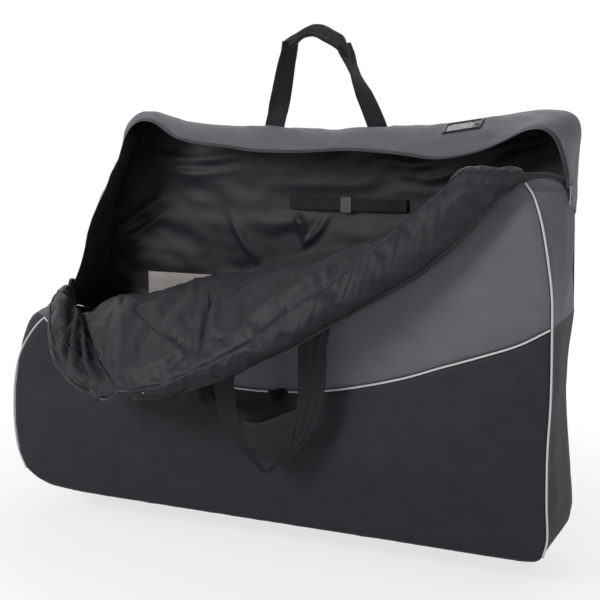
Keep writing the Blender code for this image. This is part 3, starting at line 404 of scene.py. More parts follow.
def closed_sheet(grid, front, back):
    """The points and faces of two faces of a sheet and the rim between them."""
    rows, columns = grid.shape[:2]
    count = rows * columns
    index, quads = grid_quads(rows, columns)
    border = np.concatenate([index[0, :-1], index[:-1, -1], index[-1, :0:-1], index[:0:-1, 0]])
    after = np.roll(border, -1)
    rims = np.stack([after, border, border + count, after + count], axis=-1)
    across, up = sheet_lengths(grid)
    flat = np.stack([across, up], axis=-1).reshape(-1, 2)
    points = np.vstack([front.reshape(-1, 3), back.reshape(-1, 3)])
    return points, np.vstack([quads, quads[:, ::-1] + count, rims]), np.vstack([flat, flat])


def padded_cloth(name, grid, thickness, outer, lining, lining_relief=0.0, rim=SEWN_RIM):
    """A closed padded cloth: an outer face, a lining face and a narrow sewn rim."""
    normals = sheet_normals(grid)
    _, _, distance = edge_distances(grid)
    half = rim / 2 + (thickness / 2 - rim / 2) * rounding(distance, SEWN_ROUND)
    front = grid + normals * half[..., None]
    back = grid - normals * (half + lining_relief)[..., None]
    points, faces, uvs = closed_sheet(grid, front, back)
    slots = np.zeros(len(faces), int)
    quads = (grid.shape[0] - 1) * (grid.shape[1] - 1)
    slots[quads : 2 * quads] = 1
    return add_mesh(name, points, faces, uvs, [outer, lining], slots)


def finish_piece(made, body, slot, *replaced, fill=None):
    """Attach a piece to its body, or bake it in place if it turns on a fold, and hide the pieces it
    replaces. Its slot and fill are not used.
    """
    if isinstance(body, tuple):
        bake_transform(made)
    else:
        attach(made, body)
    if replaced:
        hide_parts(*replaced)


def two_tones(tree, tone, light_tone, share):
    """A colour between two tones."""
    ends = {"A": (*tone, 1), "B": (*light_tone, 1), "Factor": share}
    return add_node(tree, "Mix", ends, data_type="RGBA").outputs["Result"]


def bumps(tree, height, strength, distance, **more):
    values = {"Height": height, "Strength": strength, "Distance": distance, **more}
    return add_node(tree, "Bump", values).outputs["Normal"]


def woven_cloth(name, tone, light_tone, rough, sheen, pitch=0.0011, depth=0.00012):
    """Plain woven nylon: fine yarn over and under, with soft creasing whose hollows carry painted shade
    and whose rises painted light, and slightly uneven tone from slubs.
    """
    made, tree, shader = new_material(name)
    flat = add_node(tree, "UVMap", uv_map="cloth").outputs["UV"]
    body = add_node(tree, "TexCoord").outputs["Object"]
    split = add_node(tree, "SeparateXYZ", {0: flat}).outputs
    yarns = [
        maths(tree, "SINE", maths(tree, "MULTIPLY", split[axis], math.pi / pitch)) for axis in "XY"
    ]
    weave = maths(tree, "MULTIPLY", *yarns)
    crease_noise = add_node(tree, "TexNoise", {"Vector": body, "Scale": 24.0, "Detail": 5.0})
    slubs = add_node(tree, "TexNoise", {"Vector": flat, "Scale": 900.0, "Detail": 2.0})
    crease_noise, slubs = crease_noise.outputs["Fac"], slubs.outputs["Fac"]
    # The colour mixes the crease heights, as painted shade in their hollows and painted light on their
    # rises, with the random tone of the slubs.
    crease_shade_and_slubs = add_node(tree, "Mix", {"Factor": 0.45, "A": crease_noise, "B": slubs}).outputs["Result"]
    shade_and_slub_share = add_node(tree, "MapRange", {"Value": crease_shade_and_slubs, "From Min": 0.35, "From Max": 0.65})
    fine = bumps(tree, weave, 0.5, depth)
    values = {
        "Base Color": two_tones(tree, tone, light_tone, shade_and_slub_share.outputs["Result"]),
        "Normal": bumps(tree, crease_noise, 0.4, 0.0012, Normal=fine),
        "Roughness": rough,
        "Sheen Weight": sheen,
        "Sheen Roughness": 0.45,
        "Specular IOR Level": 0.2,
    }
    set_inputs(tree, shader, values)
    return made


black_nylon = woven_cloth(
    "black_nylon", (0.0115, 0.0115, 0.0152), (0.0175, 0.0175, 0.0222), 0.62, 0.06
)
lining_nylon = woven_cloth(
    "lining_nylon", (0.0080, 0.0085, 0.0112), (0.0135, 0.014, 0.0175), 0.44, 0.03, 0.0008
)

COVER_THICKNESS = 0.005
COVER_FILL = 0.5
FRONT_Y = -0.122
BACK_Y = 0.122
SEAM_FRONT = [
    (-0.534, 0.408), (-0.50, 0.378), (-0.44, 0.342), (-0.37, 0.321), (-0.30, 0.308),
    (-0.18, 0.295), (-0.058, 0.290), (0.034, 0.290), (0.173, 0.305), (0.323, 0.342),
    (0.406, 0.372), (0.485, 0.400), (0.562, 0.430), (0.619, 0.463),
]
COVER_LENGTH = 1.25
COVER_HEIGHT = 0.36
SEAM_LENGTH = 1.22
SEAM_BACK = [
    (-0.603, 0.388), (-0.45, 0.342), (-0.30, 0.308), (-0.15, 0.291), (0.0, 0.289),
    (0.15, 0.302), (0.30, 0.333), (0.45, 0.382), (0.55, 0.426), (0.614, 0.463),
]
BOTTOM = [
    (-0.602, 0.042), (-0.575, 0.024), (-0.54, 0.012), (-0.48, 0.006), (-0.40, 0.004),
    (-0.1, 0.0035), (0.3, 0.0035), (0.585, 0.004), (0.605, 0.007), (0.616, 0.018),
]
LEFT_LOW = [
    (-0.602, 0.042), (-0.622, 0.085), (-0.631, 0.15), (-0.630, 0.21), (-0.622, 0.27),
    (-0.6055, 0.322), (-0.570, 0.374), (-0.550, 0.395), (-0.534, 0.408),
]
LEFT_LOW_BACK = [
    (-0.602, 0.042), (-0.622, 0.085), (-0.631, 0.15), (-0.632, 0.25), (-0.628, 0.32),
    (-0.603, 0.388),
]
RIGHT_LOW = [
    (0.616, 0.018), (0.623, 0.05), (0.620, 0.12), (0.618, 0.22), (0.621, 0.33), (0.619, 0.463),
]
RIGHT_LOW_BACK = [
    (0.616, 0.018), (0.624, 0.05), (0.619, 0.12), (0.609, 0.22), (0.602, 0.33), (0.614, 0.463),
]
LEFT_END_SEAM = [
    (-0.534, -0.122, 0.408), (-0.572, -0.100, 0.412), (-0.596, -0.06, 0.410),
    (-0.606, -0.01, 0.402), (-0.607, 0.06, 0.393), (-0.603, 0.122, 0.388),
]


def standing(points, y):
    return [Vector((x, y, z)) for x, z in points]


def make_lower_cover(name, seam, left, right, y, outward, seed, node):
    """A lower panel between the base, the curved seam and two sides, at one depth."""
    columns = steps_over(COVER_LENGTH)
    rows = steps_over(COVER_HEIGHT)
    bottom = smooth_line(standing(BOTTOM, y), columns)
    top = smooth_line(standing(seam, y), columns)
    left = smooth_line(standing(left, y), rows)
    right = smooth_line(standing(right, y), rows)
    grid = span_patch(bottom, top, left, right)
    _, ends, distance = edge_distances(grid)
    across, up = sheet_lengths(grid)
    belly = ramp(distance, 0.16)
    bulge = 0.004 * rounding(distance, 0.022) + 0.006 * belly
    bulge = bulge + 0.0075 * ripple(grid, 0.34, seed, (1.5, 0.9)) * belly
    bulge = bulge + 0.0026 * ripple(grid, 0.11, seed + 4, (1.7, 0.8)) * belly
    bulge = bulge + 0.0018 * puckers(up, across, 0.05, 0.045, seed + 7)
    bulge = bulge + 0.0008 * puckers(ends, across, 0.016, 0.012, seed + 9)
    grid[..., 1] += outward * bulge
    if outward > 0:
        grid = grid[:, ::-1]
    made = padded_cloth(name, grid, COVER_THICKNESS, black_nylon, lining_nylon)
    finish_piece(made, "shell", "black_fabric", node, fill=COVER_FILL)


make_lower_cover(
    "lower_front_cover", SEAM_FRONT, LEFT_LOW, RIGHT_LOW, FRONT_Y, -1, 3.1, "front_panel_lower"
)
make_lower_cover(
    "lower_back_cover", SEAM_BACK, LEFT_LOW_BACK, RIGHT_LOW_BACK, BACK_Y, 1, 11.7,
    "back_panel_lower",
)


# Base and lower ends: the black gusset under and beside the covers.
# It is one width of padded nylon, and its left end meets the grey cloth in a rising seam.
TOP_LINE_EASE = 0.26
GUSSET_THICKNESS = 0.0045
GUSSET_FILL = 0.4
BAG_DEPTH = 0.244


def facing(grid, towards):
    """The sheet with its front towards a direction."""
    if sheet_normals(grid).mean(axis=(0, 1)) @ np.array(towards) < 0:
        return grid[:, ::-1]
    return grid


def make_gusset(name, front, back, outward, swell, seed, replaced, top=None):
    """A gusset between a front edge and a back edge, with a soft outward swell."""
    rows = steps_over(max(line_length(front), line_length(back)))
    front = smooth_line(front, rows)
    back = smooth_line(back, rows)
    columns = steps_over(BAG_DEPTH)
    share = np.linspace(0, 1, columns)[None, :, None]
    grid = front[:, None] * (1 - share) + back[:, None] * share
    if top:
        below_top = runs_along(front[::-1])[::-1]
        ease = 1 - ramp(below_top, TOP_LINE_EASE)
        grid = grid + (smooth_line(top, columns) - grid[-1])[None] * ease[:, None, None]
    _, up = sheet_lengths(grid)
    sides, ends, _ = edge_distances(grid)
    belly = ramp(sides, 0.07) * ramp(ends, 0.02)
    bulge = swell * belly + swell * 0.7 * ripple(grid, 0.09, seed, (1.4, 0.8)) * belly
    bulge = bulge + 0.0012 * puckers(sides, up, 0.03, 0.02, seed + 2) * ramp(ends, 0.02)
    grid = grid + np.array(outward) * bulge[..., None]
    made = padded_cloth(name, facing(grid, outward), GUSSET_THICKNESS, black_nylon, lining_nylon)
    finish_piece(made, "shell", "black_fabric", replaced, fill=GUSSET_FILL)


make_gusset(
    "base_cover", standing(BOTTOM, FRONT_Y), standing(BOTTOM, BACK_Y), (0, 0, -1), 0.0,
    75.0, "base_panel",
)
make_gusset(
    "right_end_cover", standing(RIGHT_LOW, FRONT_Y), standing(RIGHT_LOW_BACK, BACK_Y), (1, 0, 0),
    0.006, 71.0, "right_end_lower",
)
make_gusset(
    "left_end_cover", standing(LEFT_LOW, FRONT_Y), standing(LEFT_LOW_BACK, BACK_Y), (-1, 0, 0),
    0.005, 73.0, "left_end_lower", LEFT_END_SEAM,
)


# Floor stiffener: a loose board of black plastic that lies on the base.
# It has a fine moulded grain.
def moulded(name, tone, rough, grain_scale, grain_depth, metallic=0.0):
    """Moulded plastic or cast metal, with a fine grain and slightly uneven gloss."""
    made, tree, shader = new_material(name)
    place = add_node(tree, "TexCoord").outputs["Object"]
    grain = add_node(tree, "TexNoise", {"Vector": place, "Scale": grain_scale, "Detail": 3.0})
    grain = grain.outputs["Fac"]
    light_tone = [min(1.0, value * 1.35) for value in tone]
    gloss = {"Value": grain, "To Min": rough - 0.06, "To Max": rough + 0.08}
    values = {
        "Base Color": two_tones(tree, tone, light_tone, grain),
        "Roughness": add_node(tree, "MapRange", gloss).outputs["Result"],
        "Normal": bumps(tree, grain, 0.4, grain_depth),
        "Metallic": metallic,
    }
    set_inputs(tree, shader, values)
    return made


def refinish(node, material):
    mesh = nodes[node].data
    mesh.materials.clear()
    mesh.materials.append(material)


board_plastic = moulded("board_plastic", (0.022, 0.022, 0.024), 0.55, 700.0, 0.0002)
refinish("base_board", board_plastic)


# Upper front with the flap: one grey padded cloth that folds over its crest and hangs outwards,
# with its black lining up.
grey_nylon = woven_cloth("grey_nylon", (0.086, 0.083, 0.098), (0.106, 0.102, 0.120), 0.60, 0.08)
LEFT_RISE = [(-0.534, 0.408), (-0.505, 0.405)]
RIGHT_RISE = [(0.619, 0.463), (0.617, 0.52), (0.610, 0.575), (0.592, 0.667), (0.575, 0.715)]
CREST_PIXELS = [
    (70, 320, -0.126), (85, 317, -0.132), (93, 312, -0.135), (101, 305, -0.136),
    (112, 299, -0.137), (126, 299, -0.137), (140, 297.5, -0.137), (155, 294.5, -0.137),
    (175, 288, -0.137), (192, 283.5, -0.137), (208, 279.5, -0.137), (230, 276.5, -0.137),
    (255, 271, -0.137), (280, 264, -0.137), (304, 260, -0.137), (328, 255, -0.137),
    (352, 250, -0.137), (366, 246, -0.137), (382, 238, -0.137), (402, 225, -0.137),
    (425, 208, -0.137), (444, 192, -0.137), (456, 180, -0.137), (468, 174, -0.136),
    (492, 172, -0.134), (520, 173, -0.131),
]
TOP_SEAM_PIXELS = [
    (118, 391, -0.343), (129, 391, -0.346), (142, 389.5, -0.346), (163, 384.5, -0.343),
    (182, 376.5, -0.339), (201, 367.5, -0.334), (220, 358, -0.326), (239, 348, -0.316),
    (255, 338.5, -0.307), (280, 320, -0.294), (304, 301, -0.280), (328, 285.5, -0.264),
    (348, 271, -0.250), (362, 259, -0.240), (377, 246.5, -0.229), (389, 236.5, -0.219),
    (401, 227, -0.209), (413, 216.5, -0.200), (425, 205, -0.193), (444, 188, -0.182),
    (456, 176.5, -0.177), (466, 170, -0.173), (480, 168, -0.170), (500, 168, -0.164),
    (513, 168.5, -0.157), (523, 170, -0.149),
]
LEFT_SEAM_PIXELS = [
    (70, 320, -0.126), (79, 318, -0.138), (85, 322, -0.160), (88, 337, -0.200),
    (96, 359, -0.260), (108, 378, -0.307), (118, 391, -0.343),
]
RIGHT_SEAM_PIXELS = [(520, 173, -0.131), (521, 170.5, -0.139), (523, 170, -0.149)]
FLAP_LENGTH = 1.15
FLAP_RISE = 0.22
FLAP_REACH = 0.28
NARROW = 0.03
FLAP_SLACK = 0.03
FLAP_PUSH = -0.35
FLAP_FRAMES = 26
FLAP_ARCH = 0.09
FLAP_TURN = ("shell", "flap", (0, -0.139, 0), (0, -0.156, 0))
FLAP_FOLDS = [
    ([(118, 300), (124, 330), (127, 356)], 0.0075, 0.010),
    ([(101, 354), (108, 341), (113, 366), (118, 387)], 0.0105, 0.009),
    ([(142, 338), (144, 364)], -0.006, 0.008),
    ([(153, 297), (139, 308), (146, 318), (158, 328)], -0.009, 0.007),
    ([(153, 324), (169, 334), (182, 343), (189, 350), (186, 356)], -0.012, 0.007),
    ([(157, 316), (173, 325), (186, 334)], 0.009, 0.014),
    ([(191, 284), (194, 300), (192, 322)], 0.0075, 0.012),
    ([(210, 292), (211, 305), (206, 317), (203, 335), (200, 360)], -0.0135, 0.006),
    ([(217, 296), (216, 318), (211, 345)], 0.0105, 0.010),
    ([(223, 333), (231, 347)], -0.006, 0.008),
    ([(249, 302), (245, 324)], -0.006, 0.010),
    ([(238, 338), (262, 318), (300, 292), (340, 268)], 0.018, 0.016),
    ([(251, 337), (279, 316), (303, 299), (330, 283)], -0.015, 0.006),
    ([(290, 284), (330, 262), (362, 246)], 0.0075, 0.014),
    ([(126, 372), (150, 368), (172, 360)], 0.006, 0.014),
]
CLOTH_SETTINGS = {
    "quality": 5,
    "mass": 0.15,
    "tension_stiffness": 20,
    "compression_stiffness": 20,
    "shear_stiffness": 8,
    "bending_stiffness": 0.08,
    "tension_damping": 12,
    "air_damping": 4,
    "vertex_group_mass": "held",
    "use_pressure": True,
}


def through_pixels(pixels, count, *depth):
    """A smooth line through pixels, each with a depth of its own or all at the given one."""
    return smooth_line([at_pixel(*pixel, *depth) for pixel in pixels], count)


def held_rim(shape, low_rows=1):
    """Marks on the rim of a sheet, with a number of rows along its lower edge."""
    held = np.ones(shape[:2], bool)
    held[low_rows:-1, 1:-1] = False
    return held


def settled(grid, held, slack, push, frames):
    """The sheet after its loose cloth has settled, held where its points are marked."""
    _, quads = grid_quads(*grid.shape[:2])
    mesh = bpy.data.meshes.new("loose_cloth")
    mesh.from_pydata(grid.reshape(-1, 3).tolist(), [], quads.tolist())
    loose = bpy.data.objects.new("loose_cloth", mesh)
    bpy.context.collection.objects.link(loose)
    pins = loose.vertex_groups.new(name="held")
    pins.add(np.flatnonzero(held).tolist(), 1.0, "REPLACE")
    cloth = loose.modifiers.new("cloth", "CLOTH")
    for setting, value in CLOTH_SETTINGS.items():
        setattr(cloth.settings, setting, value)
    cloth.settings.shrink_min = -slack
    cloth.settings.uniform_pressure_force = push
    cloth.settings.effector_weights.gravity = 0.0
    cloth.collision_settings.use_collision = False
    cloth.point_cache.frame_start = 1
    cloth.point_cache.frame_end = frames
    scene = bpy.context.scene
    for step in range(1, frames + 1):
        scene.frame_set(step)
    graph = bpy.context.evaluated_depsgraph_get()
    result = loose.evaluated_get(graph).to_mesh()
    points = np.zeros(len(result.vertices) * 3)
    result.vertices.foreach_get("co", points)
    bpy.data.objects.remove(loose, do_unlink=True)
    bpy.data.meshes.remove(mesh)
    scene.frame_set(1)
    return points.reshape(grid.shape)


def make_flap_cover():
    columns = steps_over(FLAP_LENGTH)
    rows_up = steps_over(FLAP_RISE)
    rows_out = steps_over(FLAP_REACH)
    crest = through_pixels(CREST_PIXELS, columns)
    seam = smooth_line(standing(SEAM_FRONT, FRONT_Y), columns)
    left = smooth_line([*standing(LEFT_RISE, FRONT_Y), Vector(crest[0])], rows_up)
    right = smooth_line([*standing(RIGHT_RISE, FRONT_Y), Vector(crest[-1])], rows_up)
    lower = span_patch(seam, crest, left, right)
    sides, _, distance = edge_distances(lower)
    _, up = sheet_lengths(lower)
    swell = 0.006 * np.sqrt(ramp(up, 0.05)) * ramp(sides, 0.02) * ramp(up[-1:] - up, 0.05)
    swell = swell + 0.007 * ripple(lower, 0.22, 5.5, (0.8, 1.6)) * ramp(distance, 0.08)
    lower[..., 1] -= swell

    top = through_pixels(TOP_SEAM_PIXELS, columns)
    left = through_pixels(LEFT_SEAM_PIXELS, rows_out)
    right = through_pixels(RIGHT_SEAM_PIXELS, rows_out)
    upper = span_patch(crest, top, left, right)
    across, up = sheet_lengths(upper)
    width = np.maximum(up[-1:], 1e-6)
    share = up / width
    arch = np.sin(np.pi * np.clip(share, 0, 1)) * np.clip(width, 0, 0.3)
    upper[..., 2] += FLAP_ARCH * arch * (1 - 0.3 * share)
    for pixels, height, reach in FLAP_FOLDS:
        fade = ramp(up, 0.02) * ramp(width - up, 0.012)
        upper[..., 2] += height * crease(upper, pixels, reach) * fade
    inner = ramp(up, 0.04) * ramp(width - up, 0.02)
    upper[..., 2] += 0.006 * ripple(upper, 0.09, 8.2, (1.0, 1.3)) * inner
    upper[..., 2] += 0.003 * ripple(upper, 0.035, 9.4, (0.8, 1.8)) * inner
    fine = 0.0030 * puckers(width - up, across, 0.018, 0.05, 2.3)
    upper[..., 2] += fine * ramp(width - up, 0.006)
    held = held_rim(upper.shape, 2) | (width < NARROW)
    upper = settled(upper, held, FLAP_SLACK, FLAP_PUSH, FLAP_FRAMES)
    grid = np.vstack([lower[:-1], upper])
    made = padded_cloth("flap_cover", grid, COVER_THICKNESS, grey_nylon, lining_nylon)
    shown = ("front_panel_upper", "flap_panel", "flap_right_gusset")
    finish_piece(made, FLAP_TURN, "grey_fabric", *shown, fill=COVER_FILL)
    return upper


flap_sheet = make_flap_cover()


# Flap's bands: the front halves of the top and left gussets. They hang from the flap's seams
# with their lining out, the left one rolled and gathered, and carry the front half of the zip.
TOP_EDGE_PIXELS = [
    (98, 396.5, -0.297), (112, 398, -0.301), (144, 397.5, -0.304), (176, 393, -0.303),
    (203, 385.5, -0.299), (232, 375, -0.293), (249, 367, -0.289), (275, 355.5, -0.281),
    (295, 346, -0.274), (328, 327, -0.258), (365, 307, -0.235), (389, 293.5, -0.218),
    (413, 280.5, -0.205), (425, 272, -0.198), (444, 257, -0.188), (465, 239, -0.180),
    (480, 222.5, -0.176), (500, 200, -0.169), (514, 188.5, -0.162), (525, 181, -0.152),
]
LEFT_EDGE_PIXELS = [
    (70, 287.5, -0.040), (62, 290, -0.070), (54, 298.5, -0.110), (50, 309, -0.145),
    (49, 321, -0.175), (49.5, 334, -0.202), (51, 347, -0.228), (55.5, 363, -0.254),
    (62, 372, -0.267), (70, 381, -0.279), (83, 390.5, -0.291), (98, 396.5, -0.297),
]
LEFT_BAND_SEAM_PIXELS = [
    (73.5, 290, -0.045), (75.5, 300, -0.080), (78, 311, -0.115), (86, 320, -0.150),
    (91, 338, -0.200), (99, 359, -0.260), (111, 378, -0.307), (120, 390, -0.343),
]
TOP_BAND_SWELL = ((0, 0.15, 0.5, 1), (0.012, 0.016, 0.020, 0.012))
LEFT_BAND_SWELL = ((0, 0.1, 0.35, 0.6, 1), (0.012, 0.028, 0.030, 0.016, 0.010))
BAND_WIDTH = 0.13
BAND_THICKNESS = 0.004
BAND_PUSH = -0.25
BAND_FRAMES = 16
BAND_FOLDS = [
    ([(74, 298), (71, 316), (62, 331), (54, 345)], -0.016, 0.006),
    ([(64, 294), (60, 314), (54, 334)], 0.009, 0.012),
    ([(69, 324), (64, 342), (60, 360)], 0.012, 0.005),
    ([(70, 330), (67, 348), (66, 368)], -0.014, 0.005),
    ([(75, 320), (73, 344), (75, 372)], 0.014, 0.006),
    ([(79, 322), (79, 350), (84, 382)], -0.014, 0.005),
    ([(83, 330), (85, 354), (95, 383)], 0.013, 0.006),
    ([(86, 326), (90, 352), (103, 382)], -0.012, 0.005),
    ([(58, 352), (62, 366), (70, 378)], -0.008, 0.004),
    ([(80, 372), (88, 380), (94, 388)], 0.009, 0.004),
]


def across_the_fold(seam, edge):
    """Where a band starts and ends to turn: square to its hinge, from its seam to its edge."""
    axis = unit(seam[-1] - seam[0])
    start = seam.mean(axis=0)
    fall = edge.mean(axis=0) - start
    fall = fall - axis * (fall @ axis)
    return tuple(start + fall * 0.15), tuple(start + fall)


def make_band(body, seam_pixels, edge_pixels, length, swell, seed, folds, slack):
    """A band of gusset between a seam and its zip edge, with its lining towards the camera."""
    rows = steps_over(BAND_WIDTH)
    columns = steps_over(length)
    seam = through_pixels(seam_pixels, columns)
    edge = through_pixels(edge_pixels, columns)
    swell = np.interp(np.linspace(0, 1, columns), *swell)
    middle = (seam + edge) / 2
    fall = edge - seam
    reach = np.linalg.norm(fall, axis=1, keepdims=True)
    outward = unit(np.cross(fall, np.gradient(middle, axis=0)))
    towards = unit(np.array(CAMERA_PLACE) - middle.mean(axis=0))
    if outward.mean(axis=0) @ towards < 0:
        outward = -outward
    rise = swell[:, None] * ramp(reach, 0.05)
    quarter = seam * 0.75 + edge * 0.25 + outward * rise * 0.72
    middle = middle + outward * rise
    late = seam * 0.25 + edge * 0.75 + outward * rise * 0.78
    grid = between_lines([seam, quarter, middle, late, edge], rows)
    grid = facing(grid, -towards)
    across, up = sheet_lengths(grid)
    width = np.maximum(up[-1:], 1e-6)
    inner = np.minimum(up, width - up)
    relief = 0.0032 * puckers(up, across, 0.016, 0.045, seed) * ramp(up, 0.006)
    near_zip = 0.0020 * puckers(width - up, across, 0.02, 0.03, seed + 3)
    relief = relief + near_zip * ramp(width - up, 0.008)
    relief = relief + 0.0022 * ripple(grid, 0.05, seed + 5) * ramp(inner, 0.02)
    relief = relief + creases(grid, folds) * ramp(inner, 0.01)
    grid = grid - sheet_normals(grid) * relief[..., None]
    grid = settled(grid, held_rim(grid.shape), slack, BAND_PUSH, BAND_FRAMES)
    made = padded_cloth(f"{body}_cover", grid, BAND_THICKNESS, grey_nylon, lining_nylon)
    turn = ("flap", body, *across_the_fold(seam, edge))
    finish_piece(made, turn, "grey_fabric", body, fill=GUSSET_FILL)
    return seam, grid, turn


top_seam, top_sheet, top_turn = make_band(
    "top_band", TOP_SEAM_PIXELS, TOP_EDGE_PIXELS, 1.12, TOP_BAND_SWELL, 21.0, [], 0.02
)
_, left_sheet, left_turn = make_band(
    "left_band", LEFT_BAND_SEAM_PIXELS, LEFT_EDGE_PIXELS, 0.42, LEFT_BAND_SWELL, 31.0,
    BAND_FOLDS, 0.03,
)


# Rear gusset: one padded cloth round the back half of the opening. It stands up at the left,
# droops between the corners of the top, lies flat under the address holder, and ends in the zip.
REAR_LENGTH = 2.0
REAR_WIDTH = 0.16
TOP_HEIGHT = 0.80
OPENING_MIDDLE = np.array([0.05, 0, 0.35])
BACK_EDGE_Y = 0.119
BACK_EDGE_PIXELS = [
    (82.5, 306), (92, 292), (101, 276), (107, 258), (109.5, 240), (110.5, 222), (112, 208),
    (115, 197), (125, 166), (130, 155), (135, 143), (138, 132), (144, 124), (152, 119),
    (170, 121), (206, 127), (280, 129.5), (342, 131.6), (400, 128), (462, 122.5), (506, 115),
    (544, 110), (564, 112), (576, 119), (580, 131), (578, 159), (576, 190), (574.5, 214),
]
REAR_ZIP_PIXELS = [
    (60, 301, -0.035), (67, 293, -0.035), (73, 285, -0.035), (80.5, 267, -0.033),
    (85.6, 248, -0.03), (88.4, 232.6, -0.03), (93.3, 217, -0.03), (99.6, 202, -0.03), (107, 187, -0.03),
    (112, 172.6, -0.03), (118.8, 159.8, -0.03), (122.6, 147, -0.03), (126.4, 135.6, -0.028),
    (132.8, 124.8, -0.025), (141.7, 119.3, -0.022), (150, 119.5, -0.02), (157, 122, -0.02),
    (165, 128, -0.02), (176, 135.6, -0.02), (190, 140, -0.02), (208, 143, -0.02),
    (227, 145, -0.02), (255, 149, -0.02), (300, 150, -0.02), (350, 148, -0.02),
    (400, 152, -0.02), (440, 157, -0.02), (480, 150, -0.02), (505, 140, -0.02),
    (530, 128.5, -0.022), (545, 127.5, -0.025), (556, 135, -0.028), (563, 150, -0.03),
    (567, 166, -0.033), (570, 186, -0.035), (571, 206, -0.035),
]


def plane_of(node):
    """The middle, the directions and the half sizes of a flat CAD piece, its face last."""
    points = np.array([vertex.co[:] for vertex in nodes[node].data.vertices])
    _, _, turns = np.linalg.svd(points - points.mean(axis=0), full_matrices=False)
    if turns[2, 2] < 0:
        turns[2] = -turns[2]
    local = points @ turns.T
    low, high = local.min(axis=0), local.max(axis=0)
    return (low + high) / 2 @ turns, turns, (high - low) / 2


def make_rear_gusset():
    columns = steps_over(REAR_LENGTH)
    back = through_pixels(BACK_EDGE_PIXELS, columns, BACK_EDGE_Y)
    back[:, 1] = BACK_Y + 0.001
    rim = through_pixels(REAR_ZIP_PIXELS, columns)
    out = (back + rim) / 2 - OPENING_MIDDLE
    out[:, 1] = 0
    out = unit(out)
    top = np.clip((back[:, 2] - TOP_HEIGHT) / 0.03, 0, 1)[:, None]
    run = runs_along(back)
    ends = ramp(np.minimum(run, run[-1] - run), 0.05)[:, None]
    swell = (0.006 + 0.012 * top) * ends
    late = back * 0.15 + rim * 0.85 + out * swell * 0.55
    middle = back * 0.42 + rim * 0.58 + out * swell
    quarter = back * 0.7 + rim * 0.3 + out * swell * 0.9
    grid = between_lines([rim, late, middle, quarter, back], steps_over(REAR_WIDTH))
    across, up = sheet_lengths(grid)
    width = np.maximum(up[-1:], 1e-6)
    inner = ramp(np.minimum(up, width - up), 0.02)
    relief = 0.0045 * ripple(grid, 0.10, 41.0, (0.8, 1.5)) * inner
    relief = relief + 0.0016 * ripple(grid, 0.035, 43.0, (0.7, 1.8)) * inner
    relief = relief + 0.0024 * puckers(up, across, 0.04, 0.03, 45.0) * ramp(up, 0.008)
    grid = grid + sheet_normals(grid) * relief[..., None]
    middle, turns, halves = plane_of("id_frame")
    local = (grid - middle) @ turns.T
    beside = [np.abs(local[..., axis]) - halves[axis] for axis in (0, 1)]
    flat = 1 - ramp(np.maximum(*beside) - 0.004, 0.035)
    flat = np.where(np.abs(local[..., 2]) < 0.06, flat, 0)
    seat = -halves[2] - 0.0031
    grid = grid + turns[2] * ((seat - local[..., 2]) * flat)[..., None]
    made = padded_cloth("rear_gusset", grid, GUSSET_THICKNESS, grey_nylon, lining_nylon)
    shown = ("top_gusset_rear", "left_end_rear", "right_end_rear")
    finish_piece(made, "shell", "grey_fabric", *shown, fill=GUSSET_FILL)
    return back, rim


rear_back_edge, rear_zip_edge = make_rear_gusset()


# Upper back: grey padded nylon behind the opening.
# Its loose lining hangs in soft folds on the inside, and lies flat behind the lining strap.
LINING_FOLDS = [
    ([(112, 235), (135, 218), (160, 200)], 0.012, 0.012),
    ([(113, 246), (140, 232), (168, 214)], 0.009, 0.010),
    ([(140, 150), (190, 160), (240, 158)], 0.010, 0.012),
    ([(150, 165), (200, 172), (250, 166)], 0.008, 0.012),
    ([(116, 262), (130, 250), (146, 240)], 0.008, 0.010),
    ([(232, 215), (246, 240), (262, 262)], 0.008, 0.010),
    ([(290, 200), (302, 222), (306, 246)], 0.009, 0.008),
    ([(330, 212), (318, 232), (300, 250)], 0.008, 0.008),
    ([(380, 160), (420, 166), (462, 162)], 0.008, 0.012),
    ([(400, 176), (440, 178), (470, 166)], 0.007, 0.010),
    ([(500, 150), (530, 146), (548, 140)], 0.008, 0.010),
]
BACK_CORNER_PIXELS = ((138, 132), (579, 124))
UPPER_HEIGHT = 0.5
STRAP_HEIGHT = 0.668
STRAP_ENDS = (-0.06, 0.28)


def make_upper_back():
    columns = steps_over(SEAM_LENGTH)
    rows = steps_over(UPPER_HEIGHT)
    edge = rear_back_edge.copy()
    edge[:, 1] = BACK_Y
    corners = [np.array(at_pixel(*corner, BACK_EDGE_Y)) for corner in BACK_CORNER_PIXELS]
    apart = [np.linalg.norm(rear_back_edge - corner, axis=1) for corner in corners]
    first, last = (int(np.argmin(distances)) for distances in apart)
    seam = smooth_line(standing(SEAM_BACK, BACK_Y), columns)
    left = even(np.vstack([seam[:1], edge[: first + 1]]), rows)
    right = even(np.vstack([seam[-1:], edge[last:][::-1]]), rows)
    top = even(edge[first : last + 1], columns)
    grid = span_patch(seam, top, left, right)
    _, _, distance = edge_distances(grid)
    belly = ramp(distance, 0.15)
    bulge = 0.003 * rounding(distance, 0.02) + 0.004 * belly
    bulge = bulge + 0.005 * ripple(grid, 0.25, 51.0, (0.9, 1.4)) * belly
    grid[..., 1] += bulge
    folds = 0.010 * ripple(grid, 0.12, 61.0, (1.6, 0.8))
    folds = folds + 0.005 * ripple(grid, 0.045, 63.0, (1.5, 0.8))
    folds = folds + creases(grid, LINING_FOLDS)
    beside = np.maximum(STRAP_ENDS[0] - grid[..., 0], grid[..., 0] - STRAP_ENDS[1])
    near = np.maximum(np.abs(grid[..., 2] - STRAP_HEIGHT), beside)
    folds = np.clip(folds + 0.003, 0, 0.024) * ramp(distance, 0.03) * ramp(near - 0.012, 0.035)
    grid = grid[:, ::-1]
    made = padded_cloth(
        "upper_back_cover", grid, COVER_THICKNESS, grey_nylon, lining_nylon, folds[:, ::-1]
    )
    finish_piece(made, "shell", "grey_fabric", "back_panel_upper", fill=COVER_FILL)
    return grid


back_sheet = make_upper_back()


